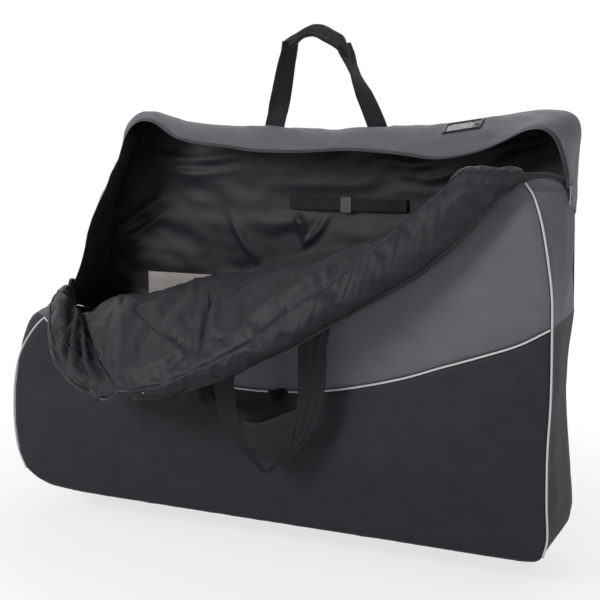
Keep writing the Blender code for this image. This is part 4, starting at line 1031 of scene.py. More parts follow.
# Upper ends: what is left of the grey gusset below the fold and beside the ends of the zip.
# The right one is pulled into small tucks where the zip begins.
END_WIDTH = 0.26
RIGHT_TOP_PIXELS = [
    (520, 173, -0.131), (531, 173.5, -0.120), (540.5, 175.5, -0.106), (554, 178, -0.082),
    (564.5, 183, -0.060), (570, 192, -0.044), (571, 206, -0.035), (572.5, 211, 0.04),
    (574.5, 214, 0.119),
]
LEFT_TOP_PIXELS = [
    (70, 320, -0.126), (59, 307, -0.115), (53, 302.5, -0.09), (54, 300, -0.06), (61, 301, -0.025),
    (67, 303, 0.02), (75, 305, 0.06), (82.5, 306, 0.119),
]
RIGHT_TUCKS = [
    ([(524, 181), (540, 187), (562, 190)], -0.007, 0.006),
    ([(528, 175), (545, 181), (564, 187)], 0.006, 0.006),
    ([(532, 190), (548, 192), (566, 194)], 0.005, 0.008),
    ([(557, 196), (563, 230), (562, 270)], 0.004, 0.016),
]


def make_upper_end(name, bottom, top, left, right, tucks, seed, replaced, outward):
    top = through_pixels(top, steps_over(END_WIDTH))
    bottom = smooth_line(bottom, len(top))
    left = [*left, Vector(top[0])]
    right = [*right, Vector(top[-1])]
    rows = steps_over(max(line_length(left), line_length(right)))
    grid = span_patch(bottom, top, smooth_line(left, rows), smooth_line(right, rows))
    grid = facing(grid, outward)
    sides, _, distance = edge_distances(grid)
    _, up = sheet_lengths(grid)
    relief = 0.004 * ripple(grid, 0.08, seed, (1.3, 1.0)) * ramp(distance, 0.03)
    near_seam = 0.0014 * puckers(sides, up, 0.025, 0.02, seed + 1)
    relief = relief + near_seam * ramp(distance, 0.01)
    relief = relief + creases(grid, tucks) * ramp(distance, 0.006)
    grid = grid + sheet_normals(grid) * relief[..., None]
    made = padded_cloth(name, grid, GUSSET_THICKNESS, grey_nylon, lining_nylon)
    finish_piece(made, "shell", "grey_fabric", *replaced, fill=GUSSET_FILL)


make_upper_end(
    "right_upper_end",
    [Vector((0.619, FRONT_Y, 0.463)), Vector((0.618, 0, 0.463)), Vector((0.614, BACK_Y, 0.463))],
    RIGHT_TOP_PIXELS, standing(RIGHT_RISE, FRONT_Y),
    standing([(0.614, 0.463), (0.606, 0.57)], BACK_Y),
    RIGHT_TUCKS, 81.0, ("right_end_upper", "right_end_front"), (1, 0, 0),
)
make_upper_end(
    "left_upper_end", LEFT_END_SEAM, LEFT_TOP_PIXELS, standing(LEFT_RISE, FRONT_Y),
    standing([(-0.603, 0.388)], BACK_Y), [], 83.0, ("left_end_front",), (-1, 0, 0),
)


# Piping: a satin cord sewn into the seams of the front, the back and the flap.
# On the front it is broken where the grab loop goes in.
def satin_cord(name, tone, light_tone):
    """Satin-woven tape round a cord: pale grey, with fine slanting yarn."""
    made, tree, shader = new_material(name)
    flat = add_node(tree, "UVMap", uv_map="cloth").outputs["UV"]
    slant = {"Vector": flat, "Rotation": (0, 0, math.radians(40))}
    turned = add_node(tree, "Mapping", slant).outputs["Vector"]
    yarn = add_node(tree, "TexWave", {"Vector": turned, "Scale": 420.0, "Distortion": 0.6})
    yarn = yarn.outputs["Fac"]
    values = {
        "Base Color": two_tones(tree, tone, light_tone, yarn),
        "Normal": bumps(tree, yarn, 0.4, 0.0002),
        "Roughness": 0.42,
        "Sheen Weight": 0.15,
    }
    set_inputs(tree, shader, values)
    return made


piping_satin = satin_cord("piping_satin", (0.40, 0.39, 0.40), (0.56, 0.55, 0.56))
PIPING_RADIUS = 0.0022
PIPING_SIDES = 10
PIPING_ROUND = 0.014


def edit_mesh(made, action, **options):
    """Carry out one action on all of a mesh."""
    bpy.context.view_layer.objects.active = made
    made.select_set(True)
    bpy.ops.object.mode_set(mode="EDIT")
    bpy.ops.mesh.select_all(action="SELECT")
    action(**options)
    bpy.ops.object.mode_set(mode="OBJECT")
    made.select_set(False)


def finish_closed(made, *finish, fill=None):
    """Face a closed mesh outwards and finish it as a piece."""
    edit_mesh(made, bpy.ops.mesh.normals_make_consistent, inside=False)
    finish_piece(made, *finish, fill=fill)


def ring_faces(base, count, around):
    """The faces of a tube of rings, with both its ends closed."""
    index = base + np.arange(count * around).reshape(count, around)
    after = np.roll(index, -1, axis=1)
    quads = np.stack([index[:-1], after[:-1], after[1:], index[1:]], axis=-1).reshape(-1, 4)
    return [tuple(quad) for quad in quads] + [tuple(index[0][::-1]), tuple(index[-1])]


def make_piping(name, routes, body, replaced):
    """Round cord along one or more routes, in one piece."""
    points, faces, uvs = [], [], []
    for route in routes:
        route = np.asarray(route)
        along = unit(np.gradient(route, axis=0))
        side = unit(np.cross(along, (0.1, 1.0, 0.05)))
        over = np.cross(side, along)
        run = runs_along(route)
        faces += ring_faces(len(points), len(route), PIPING_SIDES)
        for index in range(len(route)):
            for corner in range(PIPING_SIDES):
                angle = 2 * math.pi * corner / PIPING_SIDES
                spoke = side[index] * math.cos(angle) + over[index] * math.sin(angle)
                points.append(route[index] + spoke * PIPING_RADIUS)
                uvs.append((run[index], corner / PIPING_SIDES * PIPING_ROUND))
    made = add_mesh(name, points, faces, uvs, [piping_satin])
    finish_closed(made, body, "grey_piping", replaced)


def cut_out(line, first, last):
    """A line without the stretch that the camera sees between two columns of the picture."""
    across = seen_at(np.asarray(line))[:, 0]
    return [line[across < first], line[across > last]]


LOOP_GAP_LEFT = (193, 213)
LOOP_GAP_RIGHT = (268, 286.5)
EDGE_OUT = 0.0035
SEAM_OUT = 0.0065
TOP_CORD_SHIFT = np.array([0.0, 0.006, -0.0075])
LEFT_CORD_SHIFT = np.array([0.008, 0.010, -0.018])
RIGHT_SIDE_END = [(528, 187, -0.134), (521.5, 177, -0.138), (518, 172.5, -0.150)]
front_seam_line = smooth_line(standing(SEAM_FRONT, FRONT_Y - SEAM_OUT), steps_over(SEAM_LENGTH))
first_run, rest = cut_out(front_seam_line, *LOOP_GAP_LEFT)
front_runs = [first_run, *cut_out(rest, *LOOP_GAP_RIGHT)]
make_piping("front_seam_cord", front_runs, "shell", "front_seam_piping")
back_seam_line = smooth_line(standing(SEAM_BACK, BACK_Y + SEAM_OUT), steps_over(SEAM_LENGTH))
make_piping("back_seam_cord", [back_seam_line[5:]], "shell", "back_seam_piping")
left_side = [Vector((x - EDGE_OUT, FRONT_Y - 0.001, z)) for x, z in LEFT_LOW]
make_piping("left_side_cord", [smooth_line(left_side, 90)], "shell", "front_left_piping")
right_side = [
    Vector((x + EDGE_OUT * 0.6, FRONT_Y - 0.003, z)) for x, z in [*RIGHT_LOW, *RIGHT_RISE[1:]]
]
right_side = [*right_side, *[at_pixel(*end) for end in RIGHT_SIDE_END]]
make_piping("right_side_cord", [smooth_line(right_side, 140)], "shell", "front_right_piping")
top_cord_line = top_seam[10:-8] + TOP_CORD_SHIFT
make_piping("flap_top_cord", [top_cord_line], FLAP_TURN, "flap_top_piping")
left_cord_line = through_pixels(LEFT_SEAM_PIXELS, 60)[26:-4] + LEFT_CORD_SHIFT
make_piping("flap_left_cord", [left_cord_line], FLAP_TURN, "flap_left_piping")


# Zip: a woven tape on each edge of the opening, with a nylon coil along it.
# The rear half follows the rear gusset, and the front half the bands of the flap.
tape_cloth = woven_cloth(
    "tape_cloth", (0.012, 0.012, 0.013), (0.020, 0.020, 0.022), 0.55, 0.05, 0.0007, 0.0001
)
coil_nylon = moulded("coil_nylon", (0.020, 0.020, 0.022), 0.32, 500.0, 0.0001)
TAPE_WIDTH = 0.011
TAPE_HALF = 0.0005
COIL_PITCH = 0.0028
COIL_REACH = 0.0042
COIL_HALF = 0.0011
TOOTH_FACES = ((0, 1, 3, 2), (4, 6, 7, 5), (0, 4, 5, 1), (2, 3, 7, 6), (0, 2, 6, 4), (1, 5, 7, 3))


def resampled(line, count):
    """The rows of a line at an even pitch of its length."""
    return rows_at(line, np.linspace(0, 1, len(line)), np.linspace(0, 1, count))


def make_zip_tape(name, inner, outer, face, body, *replaced):
    """A strip of tape between two lines, with small coil teeth along the outer one."""
    columns = steps_over(line_length(outer))
    inner = resampled(inner, columns)
    outer = resampled(outer, columns)
    face = unit(resampled(face, columns))
    shares = np.linspace(0, 1, 5)[:, None, None]
    grid = inner[None] + (outer - inner)[None] * shares
    points, faces, uvs = closed_sheet(grid, grid + face * TAPE_HALF, grid - face * TAPE_HALF)
    outward = unit(outer - inner)
    teeth = int(line_length(outer) / COIL_PITCH)
    tooth_points, tooth_faces = [], []
    for tooth in range(teeth):
        spot = (tooth + 0.5) / teeth * (columns - 1)
        low = min(int(spot), columns - 2)
        middle = outer[low] + (outer[low + 1] - outer[low]) * (spot - low)
        width = unit(outer[low + 1] - outer[low]) * COIL_PITCH * 0.3
        reach = outward[low] * COIL_REACH / 2
        lift = face[low] * COIL_HALF
        base = len(points) + len(tooth_points)
        for side in (-1, 1):
            for end, slim in ((-1, 1.0), (1, 0.75)):
                for level in (-1, 1):
                    corner = middle + width * side * slim + reach * end + lift * level * slim
                    tooth_points.append(corner)
        for quad in TOOTH_FACES:
            tooth_faces.append([base + corner for corner in quad])
    slots = np.zeros(len(faces) + len(tooth_faces), int)
    slots[len(faces) :] = 1
    points = np.vstack([points, np.array(tooth_points)])
    faces = np.vstack([faces, np.array(tooth_faces)])
    uvs = np.vstack([uvs, np.zeros((len(tooth_points), 2))])
    made = add_mesh(name, points, faces, uvs, [tape_cloth, coil_nylon], slots)
    finish_closed(made, body, "zip_tape", *replaced)


rear_tape_line = rear_zip_edge[3:-2]
inward = OPENING_MIDDLE - rear_tape_line
inward[:, 1] = 0
inward = unit(unit(inward) * 0.45 + np.array([0, -0.9, 0])) * TAPE_WIDTH
rear_face = np.cross(np.gradient(rear_tape_line, axis=0), inward)
make_zip_tape(
    "rear_zip", rear_tape_line - inward * 0.2, rear_tape_line + inward, rear_face, "shell",
    "rear_zip_tape",
)
BAND_TAPE_UNDER = 0.0034
BAND_TAPE_OVER = 0.0020


def make_band_tape(body, sheet, turn):
    """A zip tape that lies on a band's lining, along its free edge."""
    normals = sheet_normals(sheet)
    inner = sheet[-3] - normals[-3] * BAND_TAPE_UNDER
    outer = sheet[-1] - normals[-1] * BAND_TAPE_OVER + unit(sheet[-1] - sheet[-2]) * 0.001
    make_zip_tape(f"{body}_zip", inner, outer, -normals[-2], turn, f"{body}_tape")


make_band_tape("top_band", top_sheet, top_turn)
make_band_tape("left_band", left_sheet, left_turn)
ZIP_END_INNER = [
    (522, 185, -0.136), (529, 181, -0.122), (538, 178.5, -0.108), (548, 178, -0.092),
    (556, 180, -0.077), (562, 184, -0.064), (566, 190, -0.052), (568.5, 200, -0.045),
]
ZIP_END_OUTER = [
    (516, 172, -0.135), (527, 173.5, -0.121), (540, 173, -0.103), (552, 174, -0.083),
    (561, 177, -0.066), (567, 182.5, -0.052), (570, 190, -0.044), (571.5, 200, -0.041),
]
ZIP_END_LIFT = 0.012
ZIP_END_STEPS = 30
end_inner = through_pixels(ZIP_END_INNER, ZIP_END_STEPS)
end_outer = through_pixels(ZIP_END_OUTER, ZIP_END_STEPS)
end_face = unit(np.array(CAMERA_PLACE) - end_inner.mean(axis=0))
lift = end_face * ZIP_END_LIFT
end_face = np.tile(end_face, (ZIP_END_STEPS, 1))
make_zip_tape("front_zip_end", end_inner + lift, end_outer + lift, end_face, "shell")


# Sliders and pulls: dark cast zinc. The left one sits on the tape where the roll of the band ends.
zinc = moulded("zinc", (0.035, 0.035, 0.04), 0.34, 900.0, 0.0001, 1.0)
bright_zinc = moulded("bright_zinc", (0.16, 0.16, 0.165), 0.26, 900.0, 0.0001, 1.0)
SLIDER_SEATS = {"left": at_pixel(71, 283, -0.044), "right": at_pixel(569.5, 182.5, -0.066)}


def moved_copy(name, node, shift, material):
    """A copy of a CAD piece on the soft tape, which lies a little beside its straight line."""
    mesh = nodes[node].data.copy()
    mesh.name = name
    mesh.materials.clear()
    mesh.materials.append(material)
    mesh.transform(Matrix.Translation(shift))
    made = bpy.data.objects.new(name, mesh)
    bpy.context.collection.objects.link(made)
    edit_mesh(made, bpy.ops.mesh.remove_doubles, threshold=0.00002)
    finish_piece(made, node, "dark_metal", node)


for side, seat in SLIDER_SEATS.items():
    low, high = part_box(f"{side}_slider")
    shift = seat - (Vector(low) + Vector(high)) / 2
    moved_copy(f"{side}_zip_slider", f"{side}_slider", shift, zinc)
    moved_copy(f"{side}_zip_pull", f"{side}_pull", shift, bright_zinc)


# Divider: a padded panel in pale cloth that stands in the bag, bound at its edges.
# Its top falls off towards the right.
divider_cloth = woven_cloth(
    "divider_cloth", (0.250, 0.222, 0.218), (0.285, 0.255, 0.250), 0.8, 0.1, 0.0009
)
DIVIDER_FALL_FROM = 0.05
DIVIDER_FALL = 0.09
DIVIDER_INSET = 0.002
DIVIDER_THICKNESS = 0.0075
DIVIDER_FILL = 0.6


def make_divider():
    low, high = (np.array(corner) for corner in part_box("divider"))
    columns = steps_over(high[0] - low[0])
    rows = steps_over(high[2] - low[2])
    x = np.linspace(low[0] + DIVIDER_INSET, high[0] - DIVIDER_INSET, columns)
    fall = DIVIDER_FALL * ramp(x - DIVIDER_FALL_FROM, high[0] - DIVIDER_FALL_FROM)
    top = high[2] - DIVIDER_INSET - fall
    foot = low[2] + DIVIDER_INSET
    z = np.linspace(0, 1, rows)[:, None]
    grid = np.zeros((rows, columns, 3))
    grid[..., 0] = x
    grid[..., 1] = (low[1] + high[1]) / 2
    grid[..., 2] = foot + (top - foot) * z
    _, _, distance = edge_distances(grid)
    binding = np.exp(-(((distance - 0.012) / 0.003) ** 2))
    grid[..., 1] += 0.0008 * ripple(grid, 0.12, 91.0)
    made = padded_cloth(
        "padded_divider", grid, DIVIDER_THICKNESS, divider_cloth, divider_cloth, -0.001 * binding
    )
    finish_piece(made, "divider", "divider_fabric", "divider", fill=DIVIDER_FILL)


make_divider()


# Lining strap: narrow webbing sewn to the back lining at both ends, through a slide buckle.
# All webbing is flat nylon strap with lengthwise ribs, a firm edge and a row of stitches.
RIB_PITCH = 0.0028
YARN_PITCH = 0.0016
EDGE_HIGHLIGHT_WIDTH = 0.0022
STITCH_ROW = 0.0042
STITCH_PITCH = 0.0040


def webbing_cloth(name, tone, light_tone, half_width):
    """Ribbed webbing with painted shade in the grooves of its ribs, a painted highlight along each edge
    and a row of stitches beside it.
    """
    made, tree, shader = new_material(name)
    flat = add_node(tree, "UVMap", uv_map="cloth").outputs["UV"]
    split = add_node(tree, "SeparateXYZ", {0: flat}).outputs

    def of(operation, *values):
        return maths(tree, operation, *values)

    run, across = split["X"], split["Y"]
    ribs = of("SINE", of("MULTIPLY", across, 2 * math.pi / RIB_PITCH))
    bent = of("ABSOLUTE", of("MULTIPLY", ribs, 1.4))
    yarn = of("SINE", of("ADD", of("MULTIPLY", run, 2 * math.pi / YARN_PITCH), bent))
    height = of("ADD", of("MULTIPLY", ribs, 0.5), of("MULTIPLY", yarn, 0.35))
    from_edge = of("SUBTRACT", half_width, of("ABSOLUTE", across))
    painted_edge_highlight = of("LESS_THAN", from_edge, EDGE_HIGHLIGHT_WIDTH)
    row = of("LESS_THAN", of("ABSOLUTE", of("SUBTRACT", from_edge, STITCH_ROW)), 0.0004)
    dash = of("LESS_THAN", of("FRACT", of("DIVIDE", run, STITCH_PITCH)), 0.68)
    stitch = of("MULTIPLY", row, dash)
    # Colour: ribs and yarn lighter on their crests and darker in their grooves as painted shade, each
    # edge lighter as a painted highlight, and the stitches lighter thread.
    painted_light_and_stitches = of("MULTIPLY", of("ADD", height, 1.0), 0.28)
    painted_light_and_stitches = of("ADD", painted_light_and_stitches, of("MULTIPLY", painted_edge_highlight, 0.35))
    painted_light_and_stitches = of("ADD", painted_light_and_stitches, of("MULTIPLY", stitch, 0.6))
    values = {
        "Base Color": two_tones(tree, tone, light_tone, painted_light_and_stitches),
        "Normal": bumps(tree, of("ADD", height, stitch), 0.6, 0.0003),
        "Roughness": 0.58,
        "Sheen Weight": 0.03,
        "Specular IOR Level": 0.18,
    }
    set_inputs(tree, shader, values)
    return made


HANDLE_WIDTH = 0.046
handle_webbing = webbing_cloth(
    "handle_webbing", (0.0035, 0.0045, 0.0055), (0.011, 0.0125, 0.0145), HANDLE_WIDTH / 2
)
STRAP_COLUMNS = 17


def strap(name, centres, sides, widths, thickness, body, *replaced, folds=0.0):
    """A strap along a line, given the direction and the length of its width at each point."""
    centres = as_rows(centres)
    sides = np.broadcast_to(np.array(sides, float), centres.shape)
    widths = np.broadcast_to(widths, len(centres))
    count = steps_over(line_length(centres)) * 2
    line = smooth_line(centres, count)
    along = unit(np.gradient(line, axis=0))
    chosen = runs_along(centres) / line_length(centres)
    wanted = np.linspace(0, 1, count)
    side = rows_at(sides, chosen, wanted)
    side = unit(side - along * np.sum(side * along, axis=1, keepdims=True))
    width = np.interp(wanted, chosen, widths)
    normal = np.cross(side, along)
    t = np.linspace(-1, 1, STRAP_COLUMNS)
    half = thickness / 2 * (1 - np.abs(t) ** 6 * 0.6)
    lift = folds * np.cos(3 * math.pi * t)
    run = runs_along(line)
    rows, uvs = [], []
    for level, order in ((1, slice(None)), (-1, slice(None, None, -1))):
        spot = line[:, None] + side[:, None] * (t[None, :, None] * width[:, None, None] / 2)
        spot = spot + normal[:, None] * (lift + level * half)[None, :, None]
        rows.append(spot[:, order])
        flat = np.broadcast_arrays(run[:, None], (t * HANDLE_WIDTH / 2)[None])
        uvs.append(np.stack(flat, axis=-1)[:, order])
    ring = np.concatenate(rows, axis=1)
    around = ring.shape[1]
    faces = ring_faces(0, count, around)[:-2]
    for base in (0, (count - 1) * around):
        for column in range(STRAP_COLUMNS - 1):
            across = around - 2 - column
            faces.append((base + column, base + column + 1, base + across, base + across + 1))
    uvs = np.concatenate(uvs, axis=1).reshape(-1, 2)
    made = add_mesh(name, ring.reshape(-1, 3), faces, uvs, [handle_webbing])
    finish_closed(made, body, "webbing", *replaced)


buckle_plastic = moulded("buckle_plastic", (0.016, 0.016, 0.018), 0.38, 800.0, 0.0001)
refinish("strap_buckle", buckle_plastic)
low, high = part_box("wheel_strap")
STRAP_SHARES = (0.0, 0.06, 0.14, 0.3, 0.5, 0.7, 0.86, 0.94, 1.0)
STRAP_BACK_SHARES = (1.0, 1.0, 0.4, 0.0, 0.0, 0.0, 0.4, 1.0, 1.0)
STRAP_BACK = 0.0065
STRAP_WIDTH = 0.028
STRAP_THICKNESS = 0.0016
strap_points = [
    Vector((low[0] + (high[0] - low[0]) * share, low[1] + 0.001 + STRAP_BACK * back, STRAP_HEIGHT))
    for share, back in zip(STRAP_SHARES, STRAP_BACK_SHARES)
]
strap(
    "wheel_webbing", strap_points, (0, 0, 1), STRAP_WIDTH, STRAP_THICKNESS, "shell", "wheel_strap"
)


# Back handle: two legs of webbing sewn to the back, joined by a folded sleeve as a grip.
# The right leg is twisted once below the grip.
HANDLE_Y = 0.1275
WEBBING_THICKNESS = 0.0022
LEFT_LEG_PIXELS = [
    (274.6, 129, 19.2), (277.2, 115, 18.4), (281.2, 95, 15), (283.8, 80, 13), (286.6, 64, 10.5),
    (289.2, 52, 8.5), (290.4, 42, 8.5),
]
RIGHT_LEG_PIXELS = [
    (378, 129, 14.5), (372.6, 114, 13.8), (364, 94, 11.5), (358.5, 82, 6), (355.8, 75, 3.2),
    (351.6, 65, 4.5), (347.4, 54, 9), (343, 44, 10),
]
ANCHOR_HEIGHTS = (0.632, 0.67, 0.71, 0.742)
LEG_HEIGHTS = (0.722, 0.742, 0.78, 0.81)
ANCHOR_OUT = 0.0016
LEG_OUT = 0.0042
NEARLY_FLAT = 0.040


def cover_depth(x, z):
    """The depth of the back cover's outer face."""
    nearest = back_sheet[nearest_on(back_sheet[..., ::2], (x, z))]
    return nearest[1] + COVER_THICKNESS / 2


def make_back_leg(side, x, pixels, *replaced):
    anchor = [Vector((x, cover_depth(x, z) + ANCHOR_OUT, z)) for z in ANCHOR_HEIGHTS]
    strap(
        f"back_anchor_{side}_webbing", anchor, (1, 0, 0), HANDLE_WIDTH, WEBBING_THICKNESS, "shell",
        f"back_anchor_{side}",
    )
    points = [Vector((x, cover_depth(x, z) + LEG_OUT, z)) for z in LEG_HEIGHTS]
    widths = [HANDLE_WIDTH] * len(points)
    sides = [(1, 0, 0)] * len(points)
    for u, v, wide in pixels:
        middle = at_pixel(u, v, HANDLE_Y)
        across = 2 * (at_pixel(u + wide / 2, v, HANDLE_Y) - middle).length
        turn = math.acos(min(1.0, across / HANDLE_WIDTH))
        points.append(middle)
        widths.append(HANDLE_WIDTH if across < NEARLY_FLAT else across)
        sides.append((math.cos(turn), math.sin(turn), 0))
    name = f"back_handle_{side}_leg"
    strap(name, points, sides, widths, WEBBING_THICKNESS, "back_handle", *replaced)


make_back_leg("left", -0.069, LEFT_LEG_PIXELS, "back_handle")
make_back_leg("right", 0.180, RIGHT_LEG_PIXELS)
grip_cloth = woven_cloth(
    "grip_cloth", (0.007, 0.0075, 0.009), (0.012, 0.0125, 0.0145), 0.6, 0.1, 0.0009
)
GRIP_COLUMNS = 60
GRIP_SIDES = 32
GRIP_DEPTH = 0.0115
GRIP_ROUND = 0.08
GRIP_FILL = 0.5
GRIP_TOP_PIXELS = [
    (284.5, 40.5), (291, 36), (296, 33.5), (305, 28), (313.6, 24.3), (323.4, 24.6), (334, 30),
    (343.5, 36), (346.5, 43), (349, 52),
]
GRIP_BOTTOM_PIXELS = [
    (286.5, 49.5), (291.5, 48), (296, 44.8), (303, 38.6), (313.5, 36.8), (324, 41.8), (334, 47.5),
    (341, 53), (344.5, 56.5), (348, 60),
]


def make_grip():
    """A folded sleeve: a flattened tube with a crease along its face and pinched ends."""
    columns, around = GRIP_COLUMNS, GRIP_SIDES
    top = through_pixels(GRIP_TOP_PIXELS, columns, HANDLE_Y)
    bottom = through_pixels(GRIP_BOTTOM_PIXELS, columns, HANDLE_Y)
    points, uvs = [], []
    share = np.clip(np.linspace(0, 1, columns), 0.03, 0.97)
    depth = 0.0016 + GRIP_DEPTH * np.sqrt(np.sin(np.pi * share))
    run = runs_along(top)
    for index in range(columns):
        middle = (top[index] + bottom[index]) / 2
        rise = (top[index] - bottom[index]) / 2
        for step in range(around):
            angle = 2 * math.pi * step / around
            up = math.copysign(abs(math.cos(angle)) ** 0.8, math.cos(angle))
            out = math.copysign(abs(math.sin(angle)) ** 0.8, math.sin(angle))
            reach = depth[index] + noise.noise((index * 0.22, step * 0.35, 7.7)) * 0.0022
            if out < 0:
                reach -= 0.0034 * math.exp(-(((up + 0.15) / 0.16) ** 2))
            points.append(middle + rise * up + np.array([0, out * reach, 0]))
            uvs.append((run[index], step / around * GRIP_ROUND))
    faces = ring_faces(0, columns, around)
    made = add_mesh("back_grip_sleeve", points, faces, uvs, [grip_cloth])
    finish_closed(made, "back_handle", "webbing", "back_grip", fill=GRIP_FILL)


make_grip()


# Front handle: two legs of webbing that hang from the underside of the flap and meet in a point.
# A loose wrap of padded cloth hangs between them, sewn along the right leg.
PIVOT_LEFT = Vector((0.01456, -0.22792, 0.50056))
PIVOT_RIGHT = Vector((0.21804, -0.17031, 0.63199))
HANDLE_FACE = Vector((0.2715, -0.9624, 0.0)).normalized()
FRONT_LEFT_PIXELS = [
    (224, 379, 21), (224.5, 390, 20.5), (226.5, 405, 19.5), (230.5, 422, 17.5), (238.5, 439, 14.5),
    (246, 450, 12), (256, 462, 9.5), (264.5, 471.5, 6),
]
FRONT_RIGHT_PIXELS = [
    (313, 345, 29), (312.5, 365, 29), (311.5, 388, 27), (309.5, 405, 25.5), (306, 420, 22),
    (299.5, 437, 17.5), (290.5, 451, 13.5), (279, 462.5, 10), (267, 472.5, 6),
]
HINGE = tuple((PIVOT_RIGHT - PIVOT_LEFT).normalized())
ANCHOR_LENGTH = 0.028
LEG_THICKNESS = 0.0024
BEND_ABOVE_PIVOT = Vector((0, 0, 0.024))
flap_normals = sheet_normals(flap_sheet)


def under_flap(point, gap):
    """The point on the flap's outer face, now its underside, nearest to a point."""
    spot = nearest_on(flap_sheet, point)
    return Vector(flap_sheet[spot] + flap_normals[spot] * gap)


def make_front_leg(side, pivot, pixels, step_out, aside, *replaced):
    seat = under_flap(pivot + Vector((0, -aside, -0.012)), 0.008)
    run = (seat - under_flap(seat + Vector((0, 0.07, 0.03)), 0.0052)).normalized()
    steps = [run * ANCHOR_LENGTH * share for share in (1.0, 0.66, 0.33, 0.0)]
    anchor = [under_flap(seat - step, 0.0042) for step in steps]
    strap(
        f"front_anchor_{side}_webbing", anchor, HINGE, HANDLE_WIDTH, WEBBING_THICKNESS, FLAP_TURN,
        f"front_anchor_{side}",
    )
    lower = pivot + Vector((0, -aside * 0.6, -0.05))
    points = [seat, (seat + lower) / 2 + Vector((0, -0.002, 0)), lower]
    widths = [HANDLE_WIDTH] * len(points)
    sides = [HINGE] * len(points)
    plane = pivot + HANDLE_FACE * step_out
    for u, v, wide in pixels:
        middle = at_plane(u, v, plane, HANDLE_FACE)
        points.append(middle)
        widths.append(2 * (at_plane(u + wide / 2, v, plane, HANDLE_FACE) - middle).length)
    along = unit(np.gradient(as_rows(points), axis=0))
    for index in range(len(sides), len(points)):
        across = np.cross(along[index], np.array(HANDLE_FACE))
        sides.append(tuple(-across if across[0] < 0 else across))
        widths[index] *= max(abs(along[index][2]), 0.5)
    turn = ("flap", "front_handle", tuple(pivot + BEND_ABOVE_PIVOT), tuple(pivot))
    name = f"front_handle_{side}_leg"
    strap(name, points, sides, widths, LEG_THICKNESS, turn, *replaced, folds=0.0007)


make_front_leg("left", PIVOT_LEFT, FRONT_LEFT_PIXELS, 0.001, 0.005, "front_handle")
make_front_leg("right", PIVOT_RIGHT, FRONT_RIGHT_PIXELS, 0.004, 0.035)
wrap_cloth = woven_cloth(
    "wrap_cloth", (0.0055, 0.006, 0.0072), (0.010, 0.0105, 0.0125), 0.55, 0.08, 0.0009
)
WRAP_THICKNESS = 0.003
WRAP_RIM = 0.0012
WRAP_FILL = 0.3
WRAP_LEFT_PIXELS = [(242, 421), (243.5, 428), (246, 438), (250, 448), (253.5, 456)]
WRAP_RIGHT_PIXELS = [(297.5, 409), (296.5, 422), (294.5, 434), (291, 446), (285, 457.5)]
WRAP_LOW_PIXELS = [(253.5, 456), (260, 459.8), (267, 461.6), (277, 461.2), (285, 457.5)]
WRAP_HIGH_PIXELS = [(242, 421), (254, 422.5), (266, 420.5), (280, 415), (297.5, 409)]


def make_wrap():
    plane = PIVOT_LEFT + HANDLE_FACE * 0.004
    columns, rows = steps_over(0.22), steps_over(0.20)

    def on_wrap(pixels, count):
        return smooth_line([at_plane(u, v, plane, HANDLE_FACE) for u, v in pixels], count)

    grid = span_patch(
        on_wrap(WRAP_LOW_PIXELS, columns), on_wrap(WRAP_HIGH_PIXELS, columns),
        on_wrap(WRAP_LEFT_PIXELS[::-1], rows), on_wrap(WRAP_RIGHT_PIXELS[::-1], rows),
    )
    share = np.linspace(0, 1, columns)[None, :]
    rise = np.linspace(0, 1, rows)[:, None]
    bow = 0.010 * np.sin(np.pi * share) ** 0.8 * (0.4 + 0.6 * rise)
    bow = bow - 0.006 * (1 - share) * (1 - rise) + 0.0022 * ripple(grid, 0.03, 17.0)
    grid = grid + np.array(HANDLE_FACE) * bow[..., None]
    grid = facing(grid, HANDLE_FACE)
    made = padded_cloth(
        "front_wrap", grid, WRAP_THICKNESS, wrap_cloth, wrap_cloth, 0.0, WRAP_RIM
    )
    finish_piece(made, "front_grip_wrap", "webbing", "front_grip_wrap", fill=WRAP_FILL)


make_wrap()


# Grab loop: a short strap of webbing that hangs in a slack bow on the front.
# Both its ends are sewn into the front seam.
LOOP_POINTS = [
    (204, 385.5, -0.127, 0.036, 0), (205.5, 395, -0.135, 0.036, 8),
    (211, 404, -0.146, 0.030, 38), (220, 409, -0.156, 0.024, 68),
    (232, 411.5, -0.166, 0.024, 82), (244, 415.5, -0.174, 0.024, 96),
    (255, 419, -0.177, 0.024, 90), (265, 418, -0.174, 0.024, 84),
    (273, 412.5, -0.166, 0.024, 120), (277, 404, -0.154, 0.020, 150),
    (278, 396, -0.140, 0.026, 172), (277.5, 389.5, -0.1285, 0.038, 180),
]


def make_grab_loop():
    points, sides, widths = [], [], []
    for u, v, y, wide, turn in LOOP_POINTS:
        points.append(at_pixel(u, v, y))
        angle = math.radians(turn)
        sides.append((math.cos(angle), -0.35 * math.sin(angle), math.sin(angle)))
        widths.append(wide)
    strap(
        "grab_loop_webbing", points, sides, widths, WEBBING_THICKNESS, "grab_loop", "grab_loop",
        folds=0.0003,
    )


make_grab_loop()


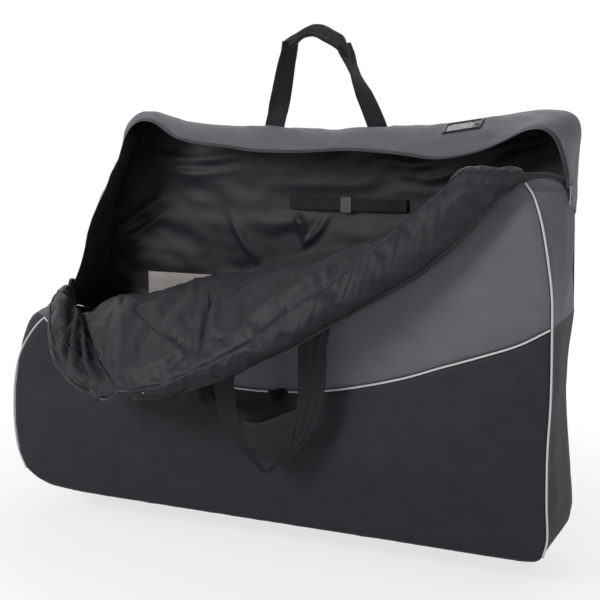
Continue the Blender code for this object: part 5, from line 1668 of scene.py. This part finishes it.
# Address holder: a moulded frame with a clear window over a card, and a plain round stud.
# A rounded bead stands round the window.
holder_plastic = moulded("holder_plastic", (0.012, 0.012, 0.013), 0.35, 900.0, 0.0001)
stud_plastic = moulded("stud_plastic", (0.035, 0.035, 0.037), 0.3, 900.0, 0.0001)
card_paper = moulded("card_paper", (0.10, 0.098, 0.092), 0.75, 1200.0, 0.00005)
refinish("id_frame", holder_plastic)
RIM_RADIUS = 0.0022
RIM_STEPS = 64
RIM_SIDES = 8


def make_holder_rim():
    """A rounded bead that stands round the holder's window."""
    middle, turns, halves = plane_of("id_frame")
    points, uvs = [], []
    for step in range(RIM_STEPS):
        angle = 2 * math.pi * step / RIM_STEPS
        corner = []
        for axis, wave in ((0, math.cos(angle)), (1, math.sin(angle))):
            reach = halves[axis] - RIM_RADIUS
            corner.append(math.copysign(min(reach, abs(wave) ** 0.3 * (reach + 0.0004)), wave))
        for side in range(RIM_SIDES):
            turn = 2 * math.pi * side / RIM_SIDES
            out = 1 + RIM_RADIUS * math.cos(turn) / np.hypot(*corner)
            rise = halves[2] + RIM_RADIUS * (0.2 + 0.6 * math.sin(turn))
            points.append(middle + np.array([corner[0] * out, corner[1] * out, rise]) @ turns)
            uvs.append((angle * 0.02, turn * 0.002))
    index = np.arange(RIM_STEPS * RIM_SIDES).reshape(RIM_STEPS, RIM_SIDES)
    after, over = np.roll(index, -1, axis=0), np.roll(index, -1, axis=1)
    both = np.roll(after, -1, axis=1)
    faces = np.stack([index, after, both, over], axis=-1).reshape(-1, 4)
    made = add_mesh("holder_rim", points, faces, uvs, [holder_plastic])
    finish_closed(made, "shell", "black_plastic")


make_holder_rim()
refinish("id_stud", stud_plastic)
refinish("id_card", card_paper)
clear, tree, shader = new_material("clear_film")
place = add_node(tree, "TexCoord").outputs["Object"]
dents = add_node(tree, "TexNoise", {"Vector": place, "Scale": 60.0}).outputs["Fac"]
film_values = {
    "Base Color": (0.93, 0.92, 0.90, 1),
    "Transmission Weight": 1.0,
    "IOR": 1.40,
    "Roughness": 0.12,
    "Normal": bumps(tree, dents, 0.15, 0.0005),
}
set_inputs(tree, shader, film_values)
refinish("id_window", clear)
